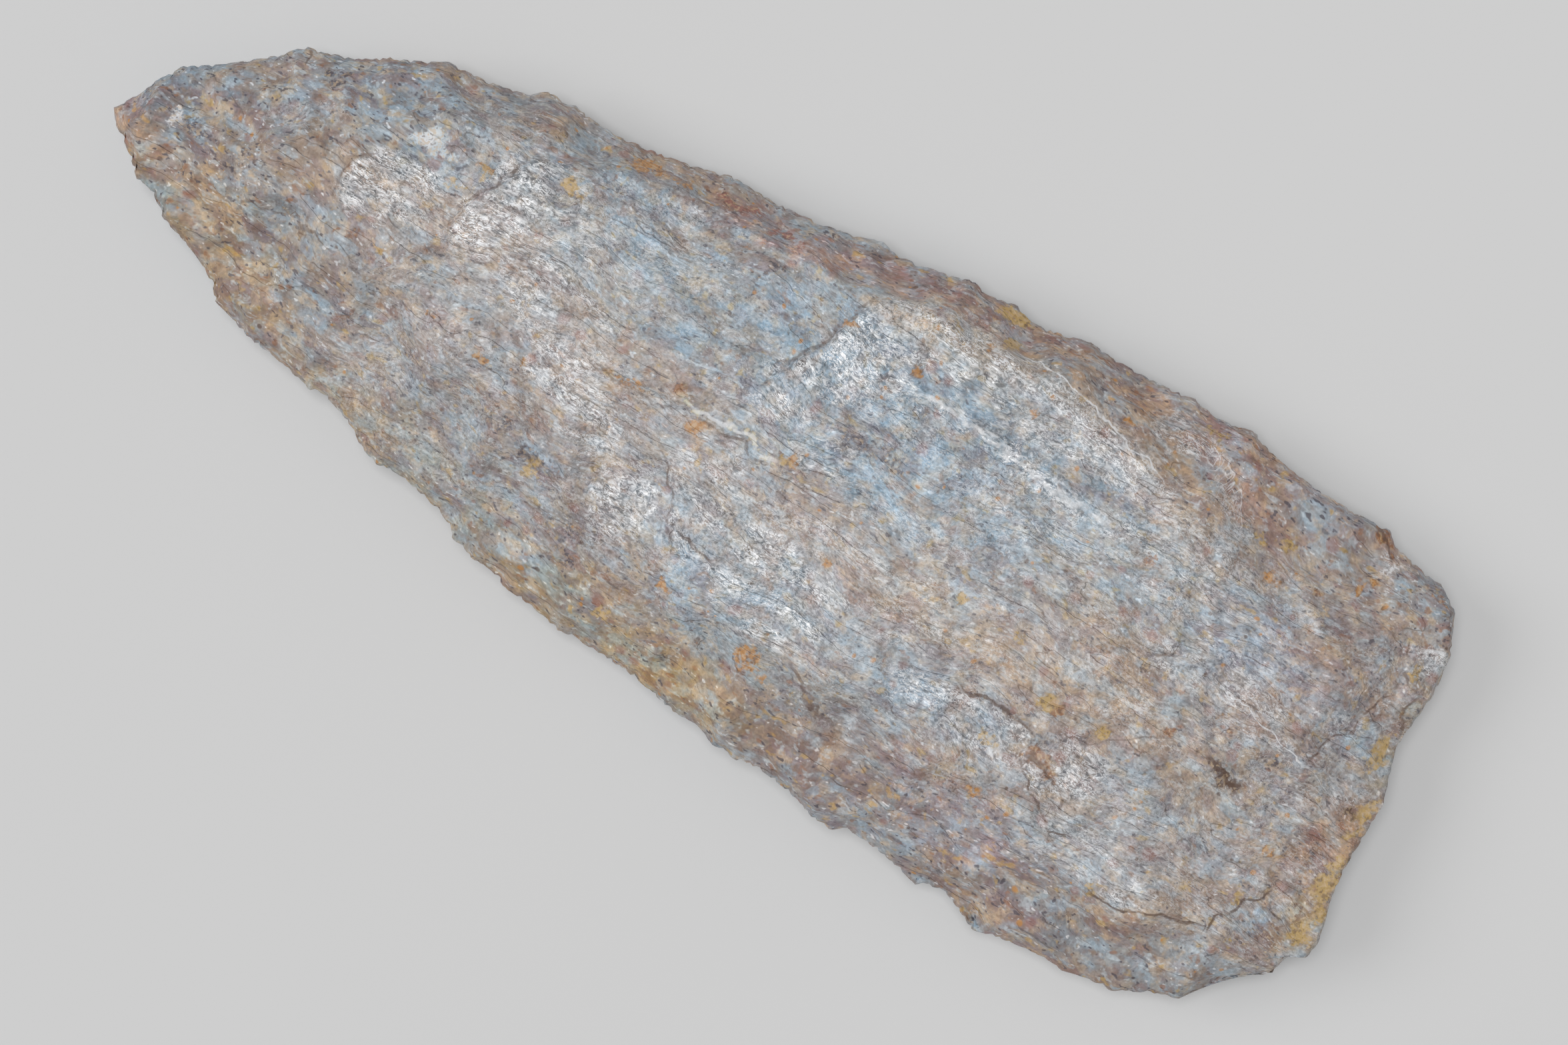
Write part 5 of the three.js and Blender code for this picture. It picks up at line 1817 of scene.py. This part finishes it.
@dataclass(frozen=True)
class FloorFinish:
    """The plain pale ground.

    Attributes:
        name: the material's name.
        shade: how light it is, from 0 to 1.
    """

    name: str = "pale_ground"
    shade: float = 0.72

    def material(self) -> bpy.types.Material:
        """A matt pale grey with a very faint cloud in it.

        Returns:
            The ground's material.
        """
        material = bpy.data.materials.new(self.name)
        material.use_nodes = True
        n = Nodes(material.node_tree)
        shader = material.node_tree.nodes["Principled BSDF"]
        cloud = n.noise(n.add("ShaderNodeTexCoord").outputs["Object"], 12.0)
        light = (self.shade,) * 3 + (1,)
        darker = (self.shade * 0.97,) * 3 + (1,)
        n.feed(shader.inputs["Base Color"], n.mix(cloud, light, darker))
        n.feed(shader.inputs["Roughness"], 0.9)
        return material


@dataclass(frozen=True)
class Blade:
    """The knife blade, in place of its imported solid.

    Attributes:
        mesh: how its mesh is made.
        maps: where its colours lie.
        finish: its stone.
    """

    mesh: BladeMesh
    maps: BladeMaps = BladeMaps()
    finish: StoneFinish = StoneFinish()

    def build(self) -> bpy.types.Object:
        """Makes the blade, dresses it and attaches it to its body.

        Returns:
            The finished blade.
        """
        blade = self.mesh.build()
        self.maps.dress(blade)
        blade.data.materials.append(self.finish.material())
        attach(blade, BODY)
        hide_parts(NODE)
        return blade


@dataclass(frozen=True)
class SoftLight:
    """A soft light so far away that it is the same all over the ground.

    Attributes:
        name: its name.
        towards: the direction in which it stands.
        strength: its power on each square metre, in watts.
        spread: the angle that it takes up in the sky, in degrees.
    """

    name: str
    towards: Row
    strength: float
    spread: float

    def build(self) -> None:
        """Adds the light."""
        data = bpy.data.lights.new(self.name, "SUN")
        data.energy = self.strength
        data.angle = math.radians(self.spread)
        light = bpy.data.objects.new(self.name, data)
        light.rotation_euler = Vector(self.towards).to_track_quat("Z", "Y").to_euler()
        bpy.context.collection.objects.link(light)


@dataclass(frozen=True)
class Studio:
    """The ground, the lights and the camera.

    Attributes:
        ground: width of the ground in metres.
        sensor_mm: width of the camera's sensor.
        lens_mm: the camera's lens.
        lights: the soft lights.
        sky: strength of the even light from all round.
    """

    ground: float = 8.0
    sensor_mm: float = 36.0
    lens_mm: float = 100.0
    lights: tuple[SoftLight, ...] = (
        SoftLight("soft_overhead", (-0.1, 0.0, 1.0), 1.48, 24.0),
        SoftLight("soft_left", (-0.9, -0.35, 0.8), 0.72, 36.0),
    )
    sky: float = 0.25

    def build(self, form: BladeForm) -> None:
        """Sets up the ground, the lights, the sky and the camera.

        Args:
            form: the blade's sizes, for the height of its edge.
        """
        self.floor()
        for light in self.lights:
            light.build()
        world = bpy.data.worlds.new("plain_sky")
        bpy.context.scene.world = world
        world.use_nodes = True
        background = world.node_tree.nodes["Background"]
        background.inputs["Color"].default_value = (1, 1, 1, 1)
        background.inputs["Strength"].default_value = self.sky
        self.camera(form)
        bpy.context.scene.view_settings.view_transform = "Standard"

    def floor(self) -> None:
        """A flat square of ground at height 0."""
        half = self.ground / 2
        mesh = bpy.data.meshes.new("ground")
        corners = [(-half, -half, 0), (half, -half, 0), (half, half, 0), (-half, half, 0)]
        mesh.from_pydata(corners, [], [(0, 1, 2, 3)])
        ground = bpy.data.objects.new("ground", mesh)
        bpy.context.collection.objects.link(ground)
        mesh.materials.append(FloorFinish().material())

    def camera(self, form: BladeForm) -> None:
        """A camera straight above, turned so that the blade lies as it does in the picture.

        Args:
            form: the blade's sizes, for the height of its edge.
        """
        distance = PICTURE_WIDTH * MM * self.lens_mm / self.sensor_mm
        data = bpy.data.cameras.new("camera")
        data.lens = self.lens_mm
        data.sensor_width = self.sensor_mm
        camera = bpy.data.objects.new("camera", data)
        camera.location = (*(part * MM for part in PICTURE_MIDDLE), form.edge_level * MM + distance)
        camera.rotation_euler = (0, 0, PICTURE_TURN)
        bpy.context.collection.objects.link(camera)
        bpy.context.scene.camera = camera


def main() -> None:
    """Builds the blade and the studio round it."""
    logging.basicConfig(level=logging.INFO, format="%(message)s")
    low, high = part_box(NODE)
    form = BladeForm(length=(high.x - low.x) / MM, width=(high.y - low.y) / MM)
    blade = Blade(BladeMesh(form)).build()
    log.info("%s: %d points, %d faces", blade.name, len(blade.data.vertices), len(blade.data.polygons))
    Studio().build(form)


if __name__ == "__main__":
    main()
